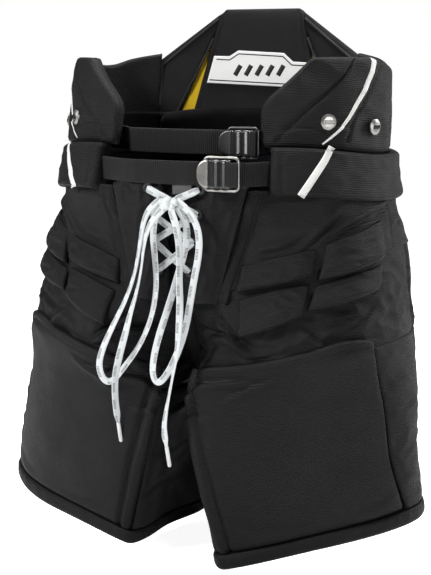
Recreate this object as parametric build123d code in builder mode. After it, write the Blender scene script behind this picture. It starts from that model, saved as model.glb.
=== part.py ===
"""Goalie hockey pants: hip girdle, two thigh shells, kidney wings, spine pad, belts, fly and lace.

Millimetres. +Z is up and the wearer faces -Y, so the wearer's left side is +X.
The origin is the middle of the footprint, on the surface that the two inner hems stand on.
Every panel is one layer of a nest of lofted forms, cut out by vertical sectors and sloping planes.
"""

import os
from math import cos, pi, radians, sin, tan

from build123d import *

# ---- driving dimensions ----------------------------------------------------------------------
PANEL = 13.0  # padded outer panels of the thighs and hips
GUARD_FOAM = 10.0  # foam in front of the thigh's plastic plate, which fills the rest of PANEL
LINING = 4.0  # knitted lining inside the panels
QUILT = 9.0  # how far the quilted thigh blocks stand out
SLEEVE = 10.0  # padded sleeve round the outer belt
WING = 16.0  # kidney wings
SEAM_GAP = 0.4  # between pieces of different bodies that lie along each other

CROTCH_Z = 217.0
HEM_FLAT_X = 57.0  # the hem is level from the inner leg out to here, then rises
HEM_RISE = 0.25
HEM_BAND = 20.0  # height of the bound hem
LEG_TOP = (205.0, 0.30)  # height at the centre plane and slope of the rigid thigh's top edge
HIP_BOTTOM = (318.0, 0.27)  # the same for the rigid hip girdle's lower edge
GROIN_CLEAR = 1.0  # between those edges and the flexing groin panels

SLEEVE_Z = (446.0, 499.0)
SLEEVE_FRONT_X = 114.0
WING_BOTTOM = 505.0
WING_TOP = 600.0
WAIST_TOP = 499.0
NOTCH_Z = 451.0  # top of the hips between the belt sleeves, where only the straps cross

FLY_FRONT_Y = -134.0
FLY_THICK = 7.0
FLY_EDGE_X = 50.0  # outer edge of the fly panel at its foot
FLY_SHOULDER = (80.0, 450.0)  # x and z where its outer edge has slanted out to, below the belt
FLY_Z = (336.0, 468.0)

# Girdle sections: height, half width, centre y, front depth, back depth
GIRDLE = [
    (285.0, 244.0, 0.0, 150.0, 139.0),
    (345.0, 236.0, 15.0, 145.0, 135.0),
    (397.0, 225.0, 27.0, 150.0, 127.0),
    (446.0, 214.0, 22.0, 150.0, 128.0),
    (500.0, 207.0, 27.0, 142.0, 123.0),
    (548.0, 205.0, 34.0, 140.0, 112.0),
    (600.0, 202.0, 42.0, 140.0, 105.0),
]
CENTRE_FRONT_LOW = -101.0  # the front seam has already turned in towards the crotch at the lowest
SQUARENESS = 2.4  # of the girdle sections: 2 is an ellipse

# Thigh sections from the inner front round the outside to the inner back
HEM_OUTLINE = [
    (40, -49), (57, -131), (165, -97), (245, -57), (281, -1),
    (262, 56), (200, 98), (110, 111), (50, 86), (24, 21),
]  # fmt: skip
THIGH_OUTLINE = [
    (27, -49), (47, -133), (158, -105), (236, -63), (270, -16),
    (252, 47), (190, 95), (100, 114), (38, 96), (12, 21),
]  # fmt: skip
CROTCH_OUTLINE = [
    (3, -43), (42, -134), (150, -117), (224, -69), (252, -9),
    (230, 49), (168, 97), (80, 122), (3, 122), (3, 31),
]  # fmt: skip
THIGH_Z = 100.0
FAR = 700.0  # past everything
SLAB_X = 400.0

os.makedirs("parts", exist_ok=True)


def save(part, name):
    part.label = name
    export_step(part, f"parts/{name}.step")


def save_pair(part, name):
    """The part lies on the wearer's left; its mirror image is the right one."""
    save(part, f"{name}_left")
    save(mirror(part, about=Plane.YZ), f"{name}_right")


# ---- nested forms ----------------------------------------------------------------------------
def inset_outline(points, inset):
    """The outline moved inwards by inset, corner by corner."""
    moved = []
    for i, point in enumerate(points):
        here = Vector(*point)
        before = (here - Vector(*points[i - 1])).normalized()
        after = (Vector(*points[(i + 1) % len(points)]) - here).normalized()
        inward = (Vector(-before.Y, before.X) + Vector(-after.Y, after.X)).normalized()
        share = max(0.5, inward.dot(Vector(-after.Y, after.X)))
        shifted = here + inward * (inset / share)
        moved.append((shifted.X, shifted.Y))
    return moved


def girdle_outline(section, inset, centre_x):
    """Half of a girdle section, with the same ten corners as a thigh section."""
    height, wide, middle_y, front, back = section
    wide, front, back = wide - inset, front - inset, back - inset
    centre_front = middle_y - front
    if height == GIRDLE[0][0]:
        centre_front = CENTRE_FRONT_LOW + inset
    outline = [(centre_x, centre_front)]
    power = 2 / SQUARENESS
    for angle in (75, 50, 25, 0):
        turn = radians(angle)
        outline.append((wide * cos(turn) ** power, middle_y - front * sin(turn) ** power))
    for angle in (25, 50, 75):
        turn = radians(angle)
        outline.append((wide * cos(turn) ** power, middle_y + back * sin(turn) ** power))
    outline.append((centre_x, middle_y + back))
    outline.append((centre_x, middle_y))
    return outline


def loft_through(levels):
    """A solid through (height, outline) levels."""
    with BuildPart() as form:
        for height, outline in levels:
            with BuildSketch(Plane.XY.offset(height)):
                with BuildLine():
                    Polyline(*outline, close=True)
                make_face()
        loft(ruled=True)
    return form.part


def crotch_outline(inset, centre_x):
    """The crotch section as the girdle needs it, reaching to centre_x."""
    outline = inset_outline(CROTCH_OUTLINE, inset)
    for i in (0, 8, 9):
        outline[i] = (centre_x, outline[i][1])
    return outline


def girdle_form(inset, centre_x):
    levels = [(CROTCH_Z, crotch_outline(inset, centre_x))]
    levels += [(s[0], girdle_outline(s, inset, centre_x)) for s in GIRDLE]
    return loft_through(levels)


def leg_form(inset):
    return loft_through(
        [
            (0.0, inset_outline(HEM_OUTLINE, inset)),
            (THIGH_Z, inset_outline(THIGH_OUTLINE, inset)),
            (CROTCH_Z, inset_outline(CROTCH_OUTLINE, inset)),
        ]
    )


def sloping_slab(low, high):
    """The space between two planes that rise with x; each is (height at x = 0, slope)."""
    with BuildPart() as slab:
        with BuildSketch(Plane.XZ.offset(-FAR / 2)):
            with BuildLine():
                Polyline(
                    (0, low[0]),
                    (SLAB_X, low[0] + low[1] * SLAB_X),
                    (SLAB_X, high[0] + high[1] * SLAB_X),
                    (0, high[0]),
                    close=True,
                )
            make_face()
        extrude(amount=FAR)
    return slab.part


def prism(corners, low=-10.0, high=700.0):
    """A vertical block on a plan outline."""
    with BuildPart() as block:
        with BuildSketch(Plane.XY.offset(low)):
            with BuildLine():
                Polyline(*corners, close=True)
            make_face()
        extrude(amount=high - low)
    return block.part


def below_hem():
    """What the sloping hem cuts away."""
    with BuildPart() as block:
        with BuildSketch(Plane.XZ.offset(-FAR / 2)):
            with BuildLine():
                Polyline(
                    (HEM_FLAT_X, 0), (HEM_FLAT_X + FAR, HEM_RISE * FAR), (HEM_FLAT_X + FAR, -50),
                    (HEM_FLAT_X, -50), close=True,
                )  # fmt: skip
            make_face()
        extrude(amount=FAR)
    return block.part


girdle = girdle_form(0, SEAM_GAP)
girdle_hollow = girdle_form(PANEL, -5)
leg_outer = leg_form(0)
leg_hollow = leg_form(PANEL)
above_crotch = girdle_form(0, 3.0)

# ---- thighs ----------------------------------------------------------------------------------
LEG_MIDDLE = (150.0, -10.0)
FRONT = [LEG_MIDDLE, (-150, -450), (400, -600), (560, -260)]
SIDE = [LEG_MIDDLE, (560, -260), (600, 300), (380, 500)]
BACK = [LEG_MIDDLE, (380, 500), (-100, 600), (-350, 390)]
INNER = [LEG_MIDDLE, (-350, 390), (-450, 0), (-150, -450)]

STRAP_PATH_HALF = 12.8  # beside the crotch strap the inner leg stops low, to swing clear of it
STRAP_PATH_Z = 199.0

with BuildPart() as thigh_ring:
    add(leg_outer)
    add(above_crotch)
    add(leg_hollow, mode=Mode.SUBTRACT)
    add(girdle_hollow, mode=Mode.SUBTRACT)
    add(sloping_slab((-20, 0), LEG_TOP), mode=Mode.INTERSECT)
    add(below_hem(), mode=Mode.SUBTRACT)
    add(prism([(-20, -60), (STRAP_PATH_HALF, -60), (STRAP_PATH_HALF, 60), (-20, 60)], STRAP_PATH_Z),
        mode=Mode.SUBTRACT)  # fmt: skip

with BuildPart() as hem_zone:
    add(sloping_slab((-20, 0), (HEM_BAND - HEM_RISE * HEM_FLAT_X, HEM_RISE)))
    add(prism([(0, -FAR), (FAR, -FAR), (FAR, FAR), (0, FAR)], -20, HEM_BAND))

with BuildPart() as hem_band:
    add(thigh_ring.part)
    add(hem_zone.part, mode=Mode.INTERSECT)
save_pair(hem_band.part, "hem_band")

with BuildPart() as plate_depth:
    add(leg_form(GUARD_FOAM))
    add(girdle_form(GUARD_FOAM, 3.0))

for name, sector in (("thigh_side", SIDE), ("thigh_back", BACK), ("inner_leg", INNER)):
    with BuildPart() as panel:
        add(thigh_ring.part)
        add(hem_zone.part, mode=Mode.SUBTRACT)
        add(prism(sector), mode=Mode.INTERSECT)
    save_pair(panel.part, f"{name}_panel")

with BuildPart() as front_panel:
    add(thigh_ring.part)
    add(hem_zone.part, mode=Mode.SUBTRACT)
    add(prism(FRONT), mode=Mode.INTERSECT)

with BuildPart() as thigh_guard:
    add(front_panel.part)
    add(plate_depth.part, mode=Mode.SUBTRACT)
save_pair(thigh_guard.part, "thigh_guard")

with BuildPart() as guard_plate:
    add(front_panel.part)
    add(plate_depth.part, mode=Mode.INTERSECT)
save_pair(guard_plate.part, "guard_plate")

with BuildPart() as leg_lining:
    add(leg_hollow)
    add(leg_form(PANEL + LINING), mode=Mode.SUBTRACT)
    add(sloping_slab((-20, 0), (LEG_TOP[0] - 5, 0)), mode=Mode.INTERSECT)
    add(hem_zone.part, mode=Mode.SUBTRACT)
save_pair(leg_lining.part, "leg_lining")

# ---- groin: the flexing panels and lower quilted blocks between hips and thighs ---------------
GUSSET_HALF = 12.0
GROIN_LOW = (LEG_TOP[0] + GROIN_CLEAR + 4, LEG_TOP[1])
GROIN_HIGH = (HIP_BOTTOM[0] - GROIN_CLEAR, HIP_BOTTOM[1])
INNER_BLOCK_X = (78.0, 156.0)
OUTER_BLOCK_X = (161.0, 232.0)
LOWER_ROW = ((262.0, 0.30), (306.0, 0.27))
UPPER_ROW = ((323.0, 0.27), (348.0, 0.30))

with BuildPart() as groin_panel:
    add(above_crotch)
    add(girdle_hollow, mode=Mode.SUBTRACT)
    add(sloping_slab(GROIN_LOW, GROIN_HIGH), mode=Mode.INTERSECT)
    add(prism([(GUSSET_HALF + 1, -FAR), (FAR, -FAR), (FAR, FAR), (GUSSET_HALF + 1, FAR)]),
        mode=Mode.INTERSECT)  # fmt: skip
save_pair(groin_panel.part, "groin_panel")

with BuildPart() as quilt_layer:
    add(girdle_form(-QUILT, SEAM_GAP))
    add(girdle, mode=Mode.SUBTRACT)


def quilt_block(row, x_range):
    """One block of the quilted layer, between two sloping edges and two upright ones."""
    near, far = x_range
    with BuildPart() as block:
        add(quilt_layer.part)
        add(sloping_slab(*row), mode=Mode.INTERSECT)
        add(prism([(near, -FAR), (far, -FAR), (far, -5), (near, -5)]), mode=Mode.INTERSECT)
    return block.part


for name, row in (("quilt_lower", LOWER_ROW), ("quilt_upper", UPPER_ROW)):
    with BuildPart() as blocks:
        add(quilt_block(row, INNER_BLOCK_X))
        add(quilt_block(row, OUTER_BLOCK_X))
    save_pair(blocks.part, name)

# ---- hip girdle ------------------------------------------------------------------------------
GIRDLE_MIDDLE = (0.0, 20.0)
SEAT_SECTOR = [GIRDLE_MIDDLE, (FAR, 420), (FAR, FAR), (0, FAR)]
HIP_SECTOR = [(FLY_EDGE_X, 20), (FLY_EDGE_X, -FAR), (FAR, -FAR), (FAR, 420), GIRDLE_MIDDLE]
HIP_PLATE_SECTOR = [GIRDLE_MIDDLE, (FAR, -250), (FAR, 300)]
TAIL_SECTOR = [GIRDLE_MIDDLE, (250, FAR), (0, FAR)]

front_notch = prism(
    [(-10, 0), (-10, -FAR), (SLEEVE_FRONT_X, -FAR), (SLEEVE_FRONT_X, 0)], NOTCH_Z, FAR
)

with BuildPart() as fly_zone:
    with BuildSketch(Plane.XZ):
        with BuildLine():
            Polyline(
                (0, 300), (FLY_EDGE_X + SEAM_GAP, 300), (FLY_EDGE_X + SEAM_GAP, FLY_Z[0]),
                (FLY_SHOULDER[0] + SEAM_GAP, FLY_SHOULDER[1]), (FLY_SHOULDER[0] + SEAM_GAP, 480),
                (0, 480), close=True,
            )  # fmt: skip
        make_face()
    extrude(amount=FAR)

with BuildPart() as hip_ring:
    add(girdle)
    add(girdle_hollow, mode=Mode.SUBTRACT)
    add(sloping_slab(HIP_BOTTOM, (WAIST_TOP, 0)), mode=Mode.INTERSECT)
    add(front_notch, mode=Mode.SUBTRACT)
    add(fly_zone.part, mode=Mode.SUBTRACT)

with BuildPart() as hip_plate_space:
    add(girdle_form(GUARD_FOAM, SEAM_GAP))
    add(prism(HIP_PLATE_SECTOR, 360, 485), mode=Mode.INTERSECT)

with BuildPart() as hip_panel:
    add(hip_ring.part)
    add(prism(HIP_SECTOR), mode=Mode.INTERSECT)
    add(hip_plate_space.part, mode=Mode.SUBTRACT)
save_pair(hip_panel.part, "hip_panel")

with BuildPart() as hip_plates:
    add(hip_ring.part)
    add(prism(HIP_SECTOR), mode=Mode.INTERSECT)
    add(hip_plate_space.part, mode=Mode.INTERSECT)
    mirror(about=Plane.YZ)
save(hip_plates.part, "hip_plates")

with BuildPart() as seat_half:
    add(girdle_form(0, 0))
    add(girdle_hollow, mode=Mode.SUBTRACT)
    add(sloping_slab(HIP_BOTTOM, (WAIST_TOP, 0)), mode=Mode.INTERSECT)
    add(prism(SEAT_SECTOR), mode=Mode.INTERSECT)

with BuildPart() as tail_half:
    add(seat_half.part)
    add(girdle_form(GUARD_FOAM, 0), mode=Mode.INTERSECT)
    add(prism(TAIL_SECTOR, 350, 480), mode=Mode.INTERSECT)

with BuildPart() as tailbone_plate:
    add(tail_half.part)
    mirror(about=Plane.YZ)
save(tailbone_plate.part, "tailbone_plate")

with BuildPart() as seat_panel:
    add(seat_half.part)
    mirror(about=Plane.YZ)
    add(tailbone_plate.part, mode=Mode.SUBTRACT)
save(seat_panel.part, "seat_panel")

with BuildPart() as lining_half:
    add(girdle_hollow)
    add(front_notch, mode=Mode.SUBTRACT)
    add(girdle_form(PANEL + LINING, -5), mode=Mode.SUBTRACT)
    add(sloping_slab((HIP_BOTTOM[0] + 5, HIP_BOTTOM[1]), (WAIST_TOP, 0)), mode=Mode.INTERSECT)
    add(prism([(FLY_EDGE_X, 20), (FLY_EDGE_X, -FAR), (FAR, -FAR), (FAR, FAR), (0, FAR), (0, 20)]),
        mode=Mode.INTERSECT)  # fmt: skip

with BuildPart() as hip_lining:
    add(lining_half.part)
    mirror(about=Plane.YZ)
save(hip_lining.part, "hip_lining")

# ---- crotch strap: down the front seam, under, and up the back seam --------------------------
STRAP = 7.0
with BuildPart() as crotch_gusset:
    with BuildSketch(Plane.YZ.offset(-GUSSET_HALF)):
        with BuildLine():
            route = Polyline(
                (-124, 332), (-96, 284), (-46, 222), (62, 222), (112, 262), (132, 308)
            )  # fmt: skip
            offset(route, amount=STRAP / 2, kind=Kind.INTERSECTION, mode=Mode.REPLACE)
        make_face()
    extrude(amount=2 * GUSSET_HALF)
save(crotch_gusset.part, "crotch_gusset")

# ---- outer belt: padded sleeves, webbing and cam buckle --------------------------------------
SLEEVE_BACK_X = 72.0
STRAP_Z = (457.5, 484.5)
STRAP_THICK = 2.0
STRAP_INSET = (-4.0, -6.0)  # inner and outer face inside the sleeve
AROUND = [
    (SLEEVE_FRONT_X, 20), (SLEEVE_FRONT_X, -FAR), (FAR, -FAR), (FAR, FAR),
    (SLEEVE_BACK_X, FAR), (SLEEVE_BACK_X, 20),
]  # fmt: skip


def webbing(route, z_range):
    """A flat strap that stands on its edge along a plan route."""
    with BuildPart() as strip:
        with BuildSketch(Plane.XY.offset(z_range[0])):
            with BuildLine():
                line = Polyline(*route)
                offset(line, amount=STRAP_THICK / 2, kind=Kind.INTERSECTION, mode=Mode.REPLACE)
            make_face()
        extrude(amount=z_range[1] - z_range[0])
    return strip.part


with BuildPart() as strap_ring:
    add(girdle_form(STRAP_INSET[1], 0))
    add(girdle_form(STRAP_INSET[0], -5), mode=Mode.SUBTRACT)
    add(prism([(108, 20), (108, -FAR), (FAR, -FAR), (FAR, FAR), (1, FAR), (1, 20)], *STRAP_Z),
        mode=Mode.INTERSECT)  # fmt: skip

with BuildPart() as belt_sleeve:
    add(girdle_form(-SLEEVE, 0))
    add(girdle_form(0, -5), mode=Mode.SUBTRACT)
    add(prism(AROUND, *SLEEVE_Z), mode=Mode.INTERSECT)
    add(strap_ring.part, mode=Mode.SUBTRACT)
save_pair(belt_sleeve.part, "belt_sleeve")

BUCKLE_Y = (-145.0, -141.0)
BUCKLE_X = (38.0, 80.0)
BUCKLE_Z = (452.0, 490.0)
INNER_BUCKLE_Y = (-104.0, -100.0)
INNER_BUCKLE_X = (49.0, 89.0)
INNER_BUCKLE_Z = (487.0, 522.0)
BUCKLE_RIM = 5.0
AXLE_R = 1.6
AXLE_PLAY = 0.06
LEVER_HUB_R = 3.2
LEVER_TAB_OUT = 1.8  # from the axle's line to the back of the thumb tab, and the tab's thickness
LEVER_X = 13.0  # from the frame's free side to the lever's axle

LEFT_STRAP = [(112, -103), (90, -136), (73.5, -138.5), (73.5, -147.5), (86, -147.5)]
RIGHT_STRAP = [(-112, -103), (-72, -128), (-48, -137), (0, -139.5), (34, -138.5), (64, -137.5)]
INNER_STRAP_Z = (492.5, 516.5)
INNER_LEFT_STRAP = [
    (138, -30), (106, -58), (89.5, -75), (89, -90), (86, -96.5), (82.5, -97), (82.5, -107), (90, -107),
]  # fmt: skip
INNER_RIGHT_STRAP = [(-138, -30), (-98, -60), (-82, -84), (-20, -97), (50, -96.5), (72, -96.5)]

with BuildPart() as outer_strap_left:
    add(strap_ring.part)
    add(webbing(LEFT_STRAP, STRAP_Z))
save(outer_strap_left.part, "outer_strap_left")

with BuildPart() as outer_strap_right:
    add(mirror(strap_ring.part, about=Plane.YZ))
    add(webbing(RIGHT_STRAP, STRAP_Z))
save(outer_strap_right.part, "outer_strap_right")

with BuildPart() as inner_straps:
    add(webbing(INNER_LEFT_STRAP, INNER_STRAP_Z))
    add(webbing(INNER_RIGHT_STRAP, INNER_STRAP_Z))
save(inner_straps.part, "inner_straps")


def lever_axle(x_range, y_range):
    return x_range[0] + LEVER_X, (y_range[0] + y_range[1]) / 2 - 0.5


def buckle_frame(x_range, y_range, z_range):
    """A rectangular ring with the lever's axle across it."""
    middle = ((x_range[0] + x_range[1]) / 2, (z_range[0] + z_range[1]) / 2)
    wide = x_range[1] - x_range[0]
    high = z_range[1] - z_range[0]
    with BuildPart() as frame:
        with BuildSketch(Plane.XZ.offset(-y_range[1])):
            with Locations(middle):
                RectangleRounded(wide, high, 4)
                Rectangle(wide - 2 * BUCKLE_RIM, high - 2 * BUCKLE_RIM, mode=Mode.SUBTRACT)
        extrude(amount=y_range[1] - y_range[0])
        x, y = lever_axle(x_range, y_range)
        with BuildSketch(Plane.XY.offset(z_range[0] + 2)):
            with Locations((x, y)):
                Circle(AXLE_R)
        extrude(amount=high - 4)
    return frame.part


def buckle_lever(x_range, y_range, z_range):
    """The cam lever: a hub on the axle and a half-round thumb tab in front of the frame."""
    x, y = lever_axle(x_range, y_range)
    low = z_range[0] + BUCKLE_RIM + 0.6
    high = z_range[1] - BUCKLE_RIM - 0.6
    with BuildPart() as lever:
        with BuildSketch(Plane.XY.offset(low)):
            with Locations((x, y)):
                Circle(LEVER_HUB_R)
        extrude(amount=high - low)
        with BuildSketch(Plane.XZ.offset(LEVER_TAB_OUT - y)):
            with BuildLine():
                Polyline((x, low), (x - 12, low), (x - 12, high), (x, high), close=True)
            make_face()
            with Locations((x - 12, (low + high) / 2)):
                Circle((high - low) / 2)
            with Locations((x + 20, (low + high) / 2)):
                Rectangle(40, 60, mode=Mode.SUBTRACT)
        extrude(amount=LEVER_TAB_OUT)
        with BuildSketch(Plane.XY.offset(low - 1)):
            with Locations((x, y)):
                Circle(AXLE_R + AXLE_PLAY)
        extrude(amount=high - low + 2, mode=Mode.SUBTRACT)
    return lever.part


for name, place in (
    ("outer_buckle", (BUCKLE_X, BUCKLE_Y, BUCKLE_Z)),
    ("inner_buckle", (INNER_BUCKLE_X, INNER_BUCKLE_Y, INNER_BUCKLE_Z)),
):
    save(buckle_frame(*place), f"{name}_frame")
    save(buckle_lever(*place), f"{name}_lever")

# ---- waistband, kidney wings and suspender buttons -------------------------------------------
WAISTBAND = (17.5, 24.0)  # insets of its outer and inner face
WAISTBAND_Z = (476.0, 529.0)
ROLL = 20.0  # thickness of the lumbar roll in front of the waistband
ROLL_Z = (490.0, 529.0)
ROLL_HALF = 145.0
WING_BACK_X = 150.0

with BuildPart() as band_half:
    add(girdle_form(WAISTBAND[0], 0))
    add(girdle_form(WAISTBAND[1], -5), mode=Mode.SUBTRACT)
    add(prism([(150, 20), (150, -FAR), (FAR, -FAR), (FAR, FAR), (0, FAR), (0, 20)], *WAISTBAND_Z),
        mode=Mode.INTERSECT)  # fmt: skip

with BuildPart() as roll_half:
    add(girdle_form(WAISTBAND[1] + 0.2, 0))
    add(girdle_form(WAISTBAND[1] + ROLL, -5), mode=Mode.SUBTRACT)
    add(prism([(0, 60), (ROLL_HALF, 60), (ROLL_HALF, FAR), (0, FAR)], *ROLL_Z),
        mode=Mode.INTERSECT)  # fmt: skip

with BuildPart() as waistband:
    add(band_half.part)
    add(roll_half.part)
    mirror(about=Plane.YZ)
save(waistband.part, "waistband")

with BuildPart() as wing_cut:
    with BuildSketch(Plane.XZ):
        with BuildLine():
            Polyline((-10, 490), (91, 490), (91, 548), (141, 601), (141, 640), (-10, 640),
                     close=True)  # fmt: skip
        make_face()
    extrude(amount=FAR)
    with BuildSketch(Plane.XY.offset(490)):
        with Locations((0, FAR / 2)):
            Rectangle(2 * WING_BACK_X, FAR)
    extrude(amount=150)

with BuildPart() as kidney_wing:
    add(girdle_form(0, 0))
    add(girdle_form(WING, -5), mode=Mode.SUBTRACT)
    add(prism([(0, -FAR), (FAR, -FAR), (FAR, FAR), (0, FAR)], WING_BOTTOM, WING_TOP),
        mode=Mode.INTERSECT)  # fmt: skip
    add(wing_cut.part, mode=Mode.SUBTRACT)
save_pair(kidney_wing.part, "kidney_wing")

# Buttons: point on the wing's face and the outward direction there, degrees from +X
BUTTONS = {"front": ((160.0, -67.0, 528.0), -52.0), "side": ((197.0, -18.0, 521.0), -22.0)}
CAP_R = 9.0
NECK_R = 2.5
HEAD_R = 4.4
BUTTON_PLAY = 0.08


def button_plane(key):
    point, direction = BUTTONS[key]
    turn = radians(direction)
    return Plane(origin=point, x_dir=(0, 0, 1), z_dir=(cos(turn), sin(turn), 0))


def turned(plane, profile):
    """A solid of revolution about the plane's normal; profile is (radius, height) points."""
    side = Plane(origin=plane.origin, x_dir=plane.x_dir, z_dir=-plane.y_dir)
    with BuildPart() as body:
        with BuildSketch(side):
            with BuildLine():
                Polyline(*profile, close=True)
            make_face()
        revolve(axis=Axis(plane.origin, plane.z_dir))
    return body.part


POST = [
    (0, -12), (7, -12), (7, -10.5), (NECK_R, -10.5), (NECK_R, 4.5),
    (HEAD_R, 4.5), (HEAD_R, 6), (0, 6),
]  # fmt: skip
CAP = [
    (NECK_R + BUTTON_PLAY, 3), (CAP_R - 1, 3), (CAP_R, 4), (CAP_R, 6), (CAP_R - 3, 7.6), (0, 8),
    (0, 6 + BUTTON_PLAY), (HEAD_R + BUTTON_PLAY, 6 + BUTTON_PLAY),
    (HEAD_R + BUTTON_PLAY, 4.5 - BUTTON_PLAY), (NECK_R + BUTTON_PLAY, 4.5 - BUTTON_PLAY),
]  # fmt: skip

with BuildPart() as button_posts:
    for key in BUTTONS:
        add(turned(button_plane(key), POST))
save_pair(button_posts.part, "button_posts")
for key in BUTTONS:
    save_pair(turned(button_plane(key), CAP), f"{key}_button")

# ---- spine pad -------------------------------------------------------------------------------
SPINE_FOOT = (109.0, 534.0)  # y and z of the front face's lower edge
SPINE_LEAN = 9.2
SPINE_HIGH = 130.7
SPINE_THICK = {"spine_panel": 22.0, "spine_sides": 18.0, "stretch_gussets": 6.0}
BADGE_THICK = 1.5
CENTRE_OUTLINE = [(-79, 2), (79, 2), (57, SPINE_HIGH), (-57, SPINE_HIGH)]
GUSSET_OUTLINE = [(79.6, 2), (108, 2), (63, 96)]
SIDE_OUTLINE = [(108.6, 2), (143, 2), (143, 61), (58.5, 125), (63.4, 96.6)]
BADGE_OUTLINE = [(-64, 33), (62, 33), (55, 70), (26, 78), (-20, 78), (-58, 66)]

lean = radians(SPINE_LEAN)
spine_plane = Plane(
    origin=(0, *SPINE_FOOT), x_dir=(1, 0, 0), z_dir=(0, -cos(lean), sin(lean))
)


def spine_slab(outline, thickness):
    with BuildPart() as slab:
        with BuildSketch(spine_plane):
            with BuildLine():
                Polyline(*outline, close=True)
            make_face()
        extrude(amount=-thickness)
    return slab.part


save(spine_slab(CENTRE_OUTLINE, SPINE_THICK["spine_panel"]), "spine_panel")
for name, outline in (("stretch_gussets", GUSSET_OUTLINE), ("spine_sides", SIDE_OUTLINE)):
    with BuildPart() as pair:
        add(spine_slab(outline, SPINE_THICK[name]))
        mirror(about=Plane.YZ)
    save(pair.part, name)
save(spine_slab(BADGE_OUTLINE, -BADGE_THICK), "spine_badge")

# ---- fly: panels, gusset, eyelets -----------------------------------------------------
EYELETS = [(33, 452), (30, 424), (25, 391), (20, 357)]  # x and z of one side's row
EYELET_HOLE = 3.0
EYELET_TUBE = 3.8
EYELET_FLANGE = 5.6
GUSSET_THICK = 3.0

with BuildPart() as fly_panel:
    with BuildSketch(Plane.XZ.offset(-FLY_FRONT_Y - FLY_THICK)):
        with BuildLine():
            Polyline(
                (9, FLY_Z[0]), (FLY_EDGE_X, FLY_Z[0]), FLY_SHOULDER,
                (FLY_EDGE_X, FLY_SHOULDER[1]), (FLY_EDGE_X, FLY_Z[1]), (22, FLY_Z[1]), close=True,
            )  # fmt: skip
        make_face()
        with Locations(*EYELETS):
            Circle(EYELET_TUBE, mode=Mode.SUBTRACT)
    extrude(amount=FLY_THICK)
save_pair(fly_panel.part, "fly_panel")

with BuildPart() as eyelets:
    with BuildSketch(Plane.XZ.offset(-FLY_FRONT_Y - FLY_THICK)):
        with Locations(*EYELETS):
            Circle(EYELET_TUBE)
    extrude(amount=FLY_THICK)
    with BuildSketch(Plane.XZ.offset(-FLY_FRONT_Y)):
        with Locations(*EYELETS):
            Circle(EYELET_FLANGE)
    extrude(amount=1)
    with BuildSketch(Plane.XZ.offset(-FLY_FRONT_Y - 20)):
        with Locations(*EYELETS):
            Circle(EYELET_HOLE)
    extrude(amount=40, mode=Mode.SUBTRACT)
    mirror(about=Plane.YZ)
save(eyelets.part, "eyelets")

with BuildPart() as fly_gusset:
    with BuildSketch(Plane.XZ.offset(-FLY_FRONT_Y - FLY_THICK - 5)):
        with BuildLine():
            Polyline((-42, 342), (42, 342), (46, 470), (-46, 470), close=True)
        make_face()
    extrude(amount=GUSSET_THICK)
save(fly_gusset.part, "fly_gusset")

# ---- lace: crossings between the eyelets, bow knot, two loops and two tails -------------------
LACE_WIDE = 8.0
LACE_THICK = 1.4
CORD_R = 2.5  # the round tube that stands for the flat lace where it hangs free
LACE_FRONT_Y = FLY_FRONT_Y - 1.2
KNOT_X = 10.0
KNOT_Y = (-156.0, -140.0)
KNOT_Z = (430.0, 445.0)
AGLET_R = 2.2

# Routes in the order that the lace runs, from the knot; chosen by hand
LOOP_RIGHT = [
    (-10, -147, 440.5), (-24, -149, 431), (-32, -150, 411), (-36, -151, 382), (-42, -152, 352),
    (-53, -153, 323), (-68, -155, 294), (-81, -156, 268), (-89, -156, 246), (-87, -155, 229),
    (-78.5, -154, 221), (-69, -153, 226), (-57, -152, 242), (-43, -151, 260), (-30, -150, 283),
    (-20, -149, 310), (-15.5, -148, 342), (-18, -147, 374), (-21, -146.5, 400), (-18, -147, 420),
    (-10, -147, 433),
]  # fmt: skip
LOOP_LEFT = [
    (10, -147, 440.5), (22, -149, 433), (33, -150, 421), (39.5, -150, 404), (39, -150, 380),
    (33, -150, 353), (28, -150, 325), (23, -150, 298), (14.5, -150, 271), (4, -150, 248),
    (-7, -149.5, 231), (-16, -149, 225), (-22, -148.5, 235), (-20.5, -148, 256),
    (-13, -147.5, 284), (-4, -147, 309), (5, -146.5, 336), (13, -146, 362), (20, -146, 385),
    (23, -146, 405), (19, -146.5, 422), (10, -147, 433),
]  # fmt: skip
TAIL_RIGHT = [
    (-5, -152, 430), (-14, -156, 421), (-22, -158, 407), (-27, -158, 386), (-30, -158, 361),
    (-36, -158.5, 334), (-44.5, -159, 308), (-51, -160, 283), (-58, -161, 259), (-65, -160, 233),
    (-69, -154, 208), (-70.5, -148, 187), (-69.5, -145, 169),
]  # fmt: skip
TAIL_LEFT = [
    (5, -152, 430), (11.5, -156, 419), (17, -158, 402), (19, -158, 377), (18, -158, 350),
    (19, -158, 323), (17.5, -158, 296), (14.5, -157, 269), (9, -156, 243), (3, -154, 217),
    (-3.5, -152, 191), (-6.5, -151, 168), (-3, -150, 149),
]  # fmt: skip
AGLET_LENGTH = 25.0


def corner_radii(points):
    """The largest arcs that the runs leave room for, one at each inner corner."""
    radii = []
    for before, corner, after in zip(points, points[1:], points[2:]):
        arriving = Vector(*corner) - Vector(*before)
        leaving = Vector(*after) - Vector(*corner)
        half_turn = radians(arriving.get_angle(leaving)) / 2
        radii.append(0.45 * min(arriving.length, leaving.length) / tan(half_turn))
    return radii


def cord_path(points):
    with BuildLine():
        path = FilletPolyline(*points, radius=corner_radii(points))
    return path


def cord_tube(name, points):
    path = cord_path(points)
    with BuildPart() as tube:
        with BuildSketch(Plane(origin=path @ 0, z_dir=path % 0)):
            Circle(CORD_R)
        sweep(path=path)
    save(tube.part, name)
    expected = pi * CORD_R**2 * path.length
    radii = [round(r) for r in corner_radii(points)]
    print(name, "length", round(path.length), "volume share", tube.part.volume / expected, radii)
    return path


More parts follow.
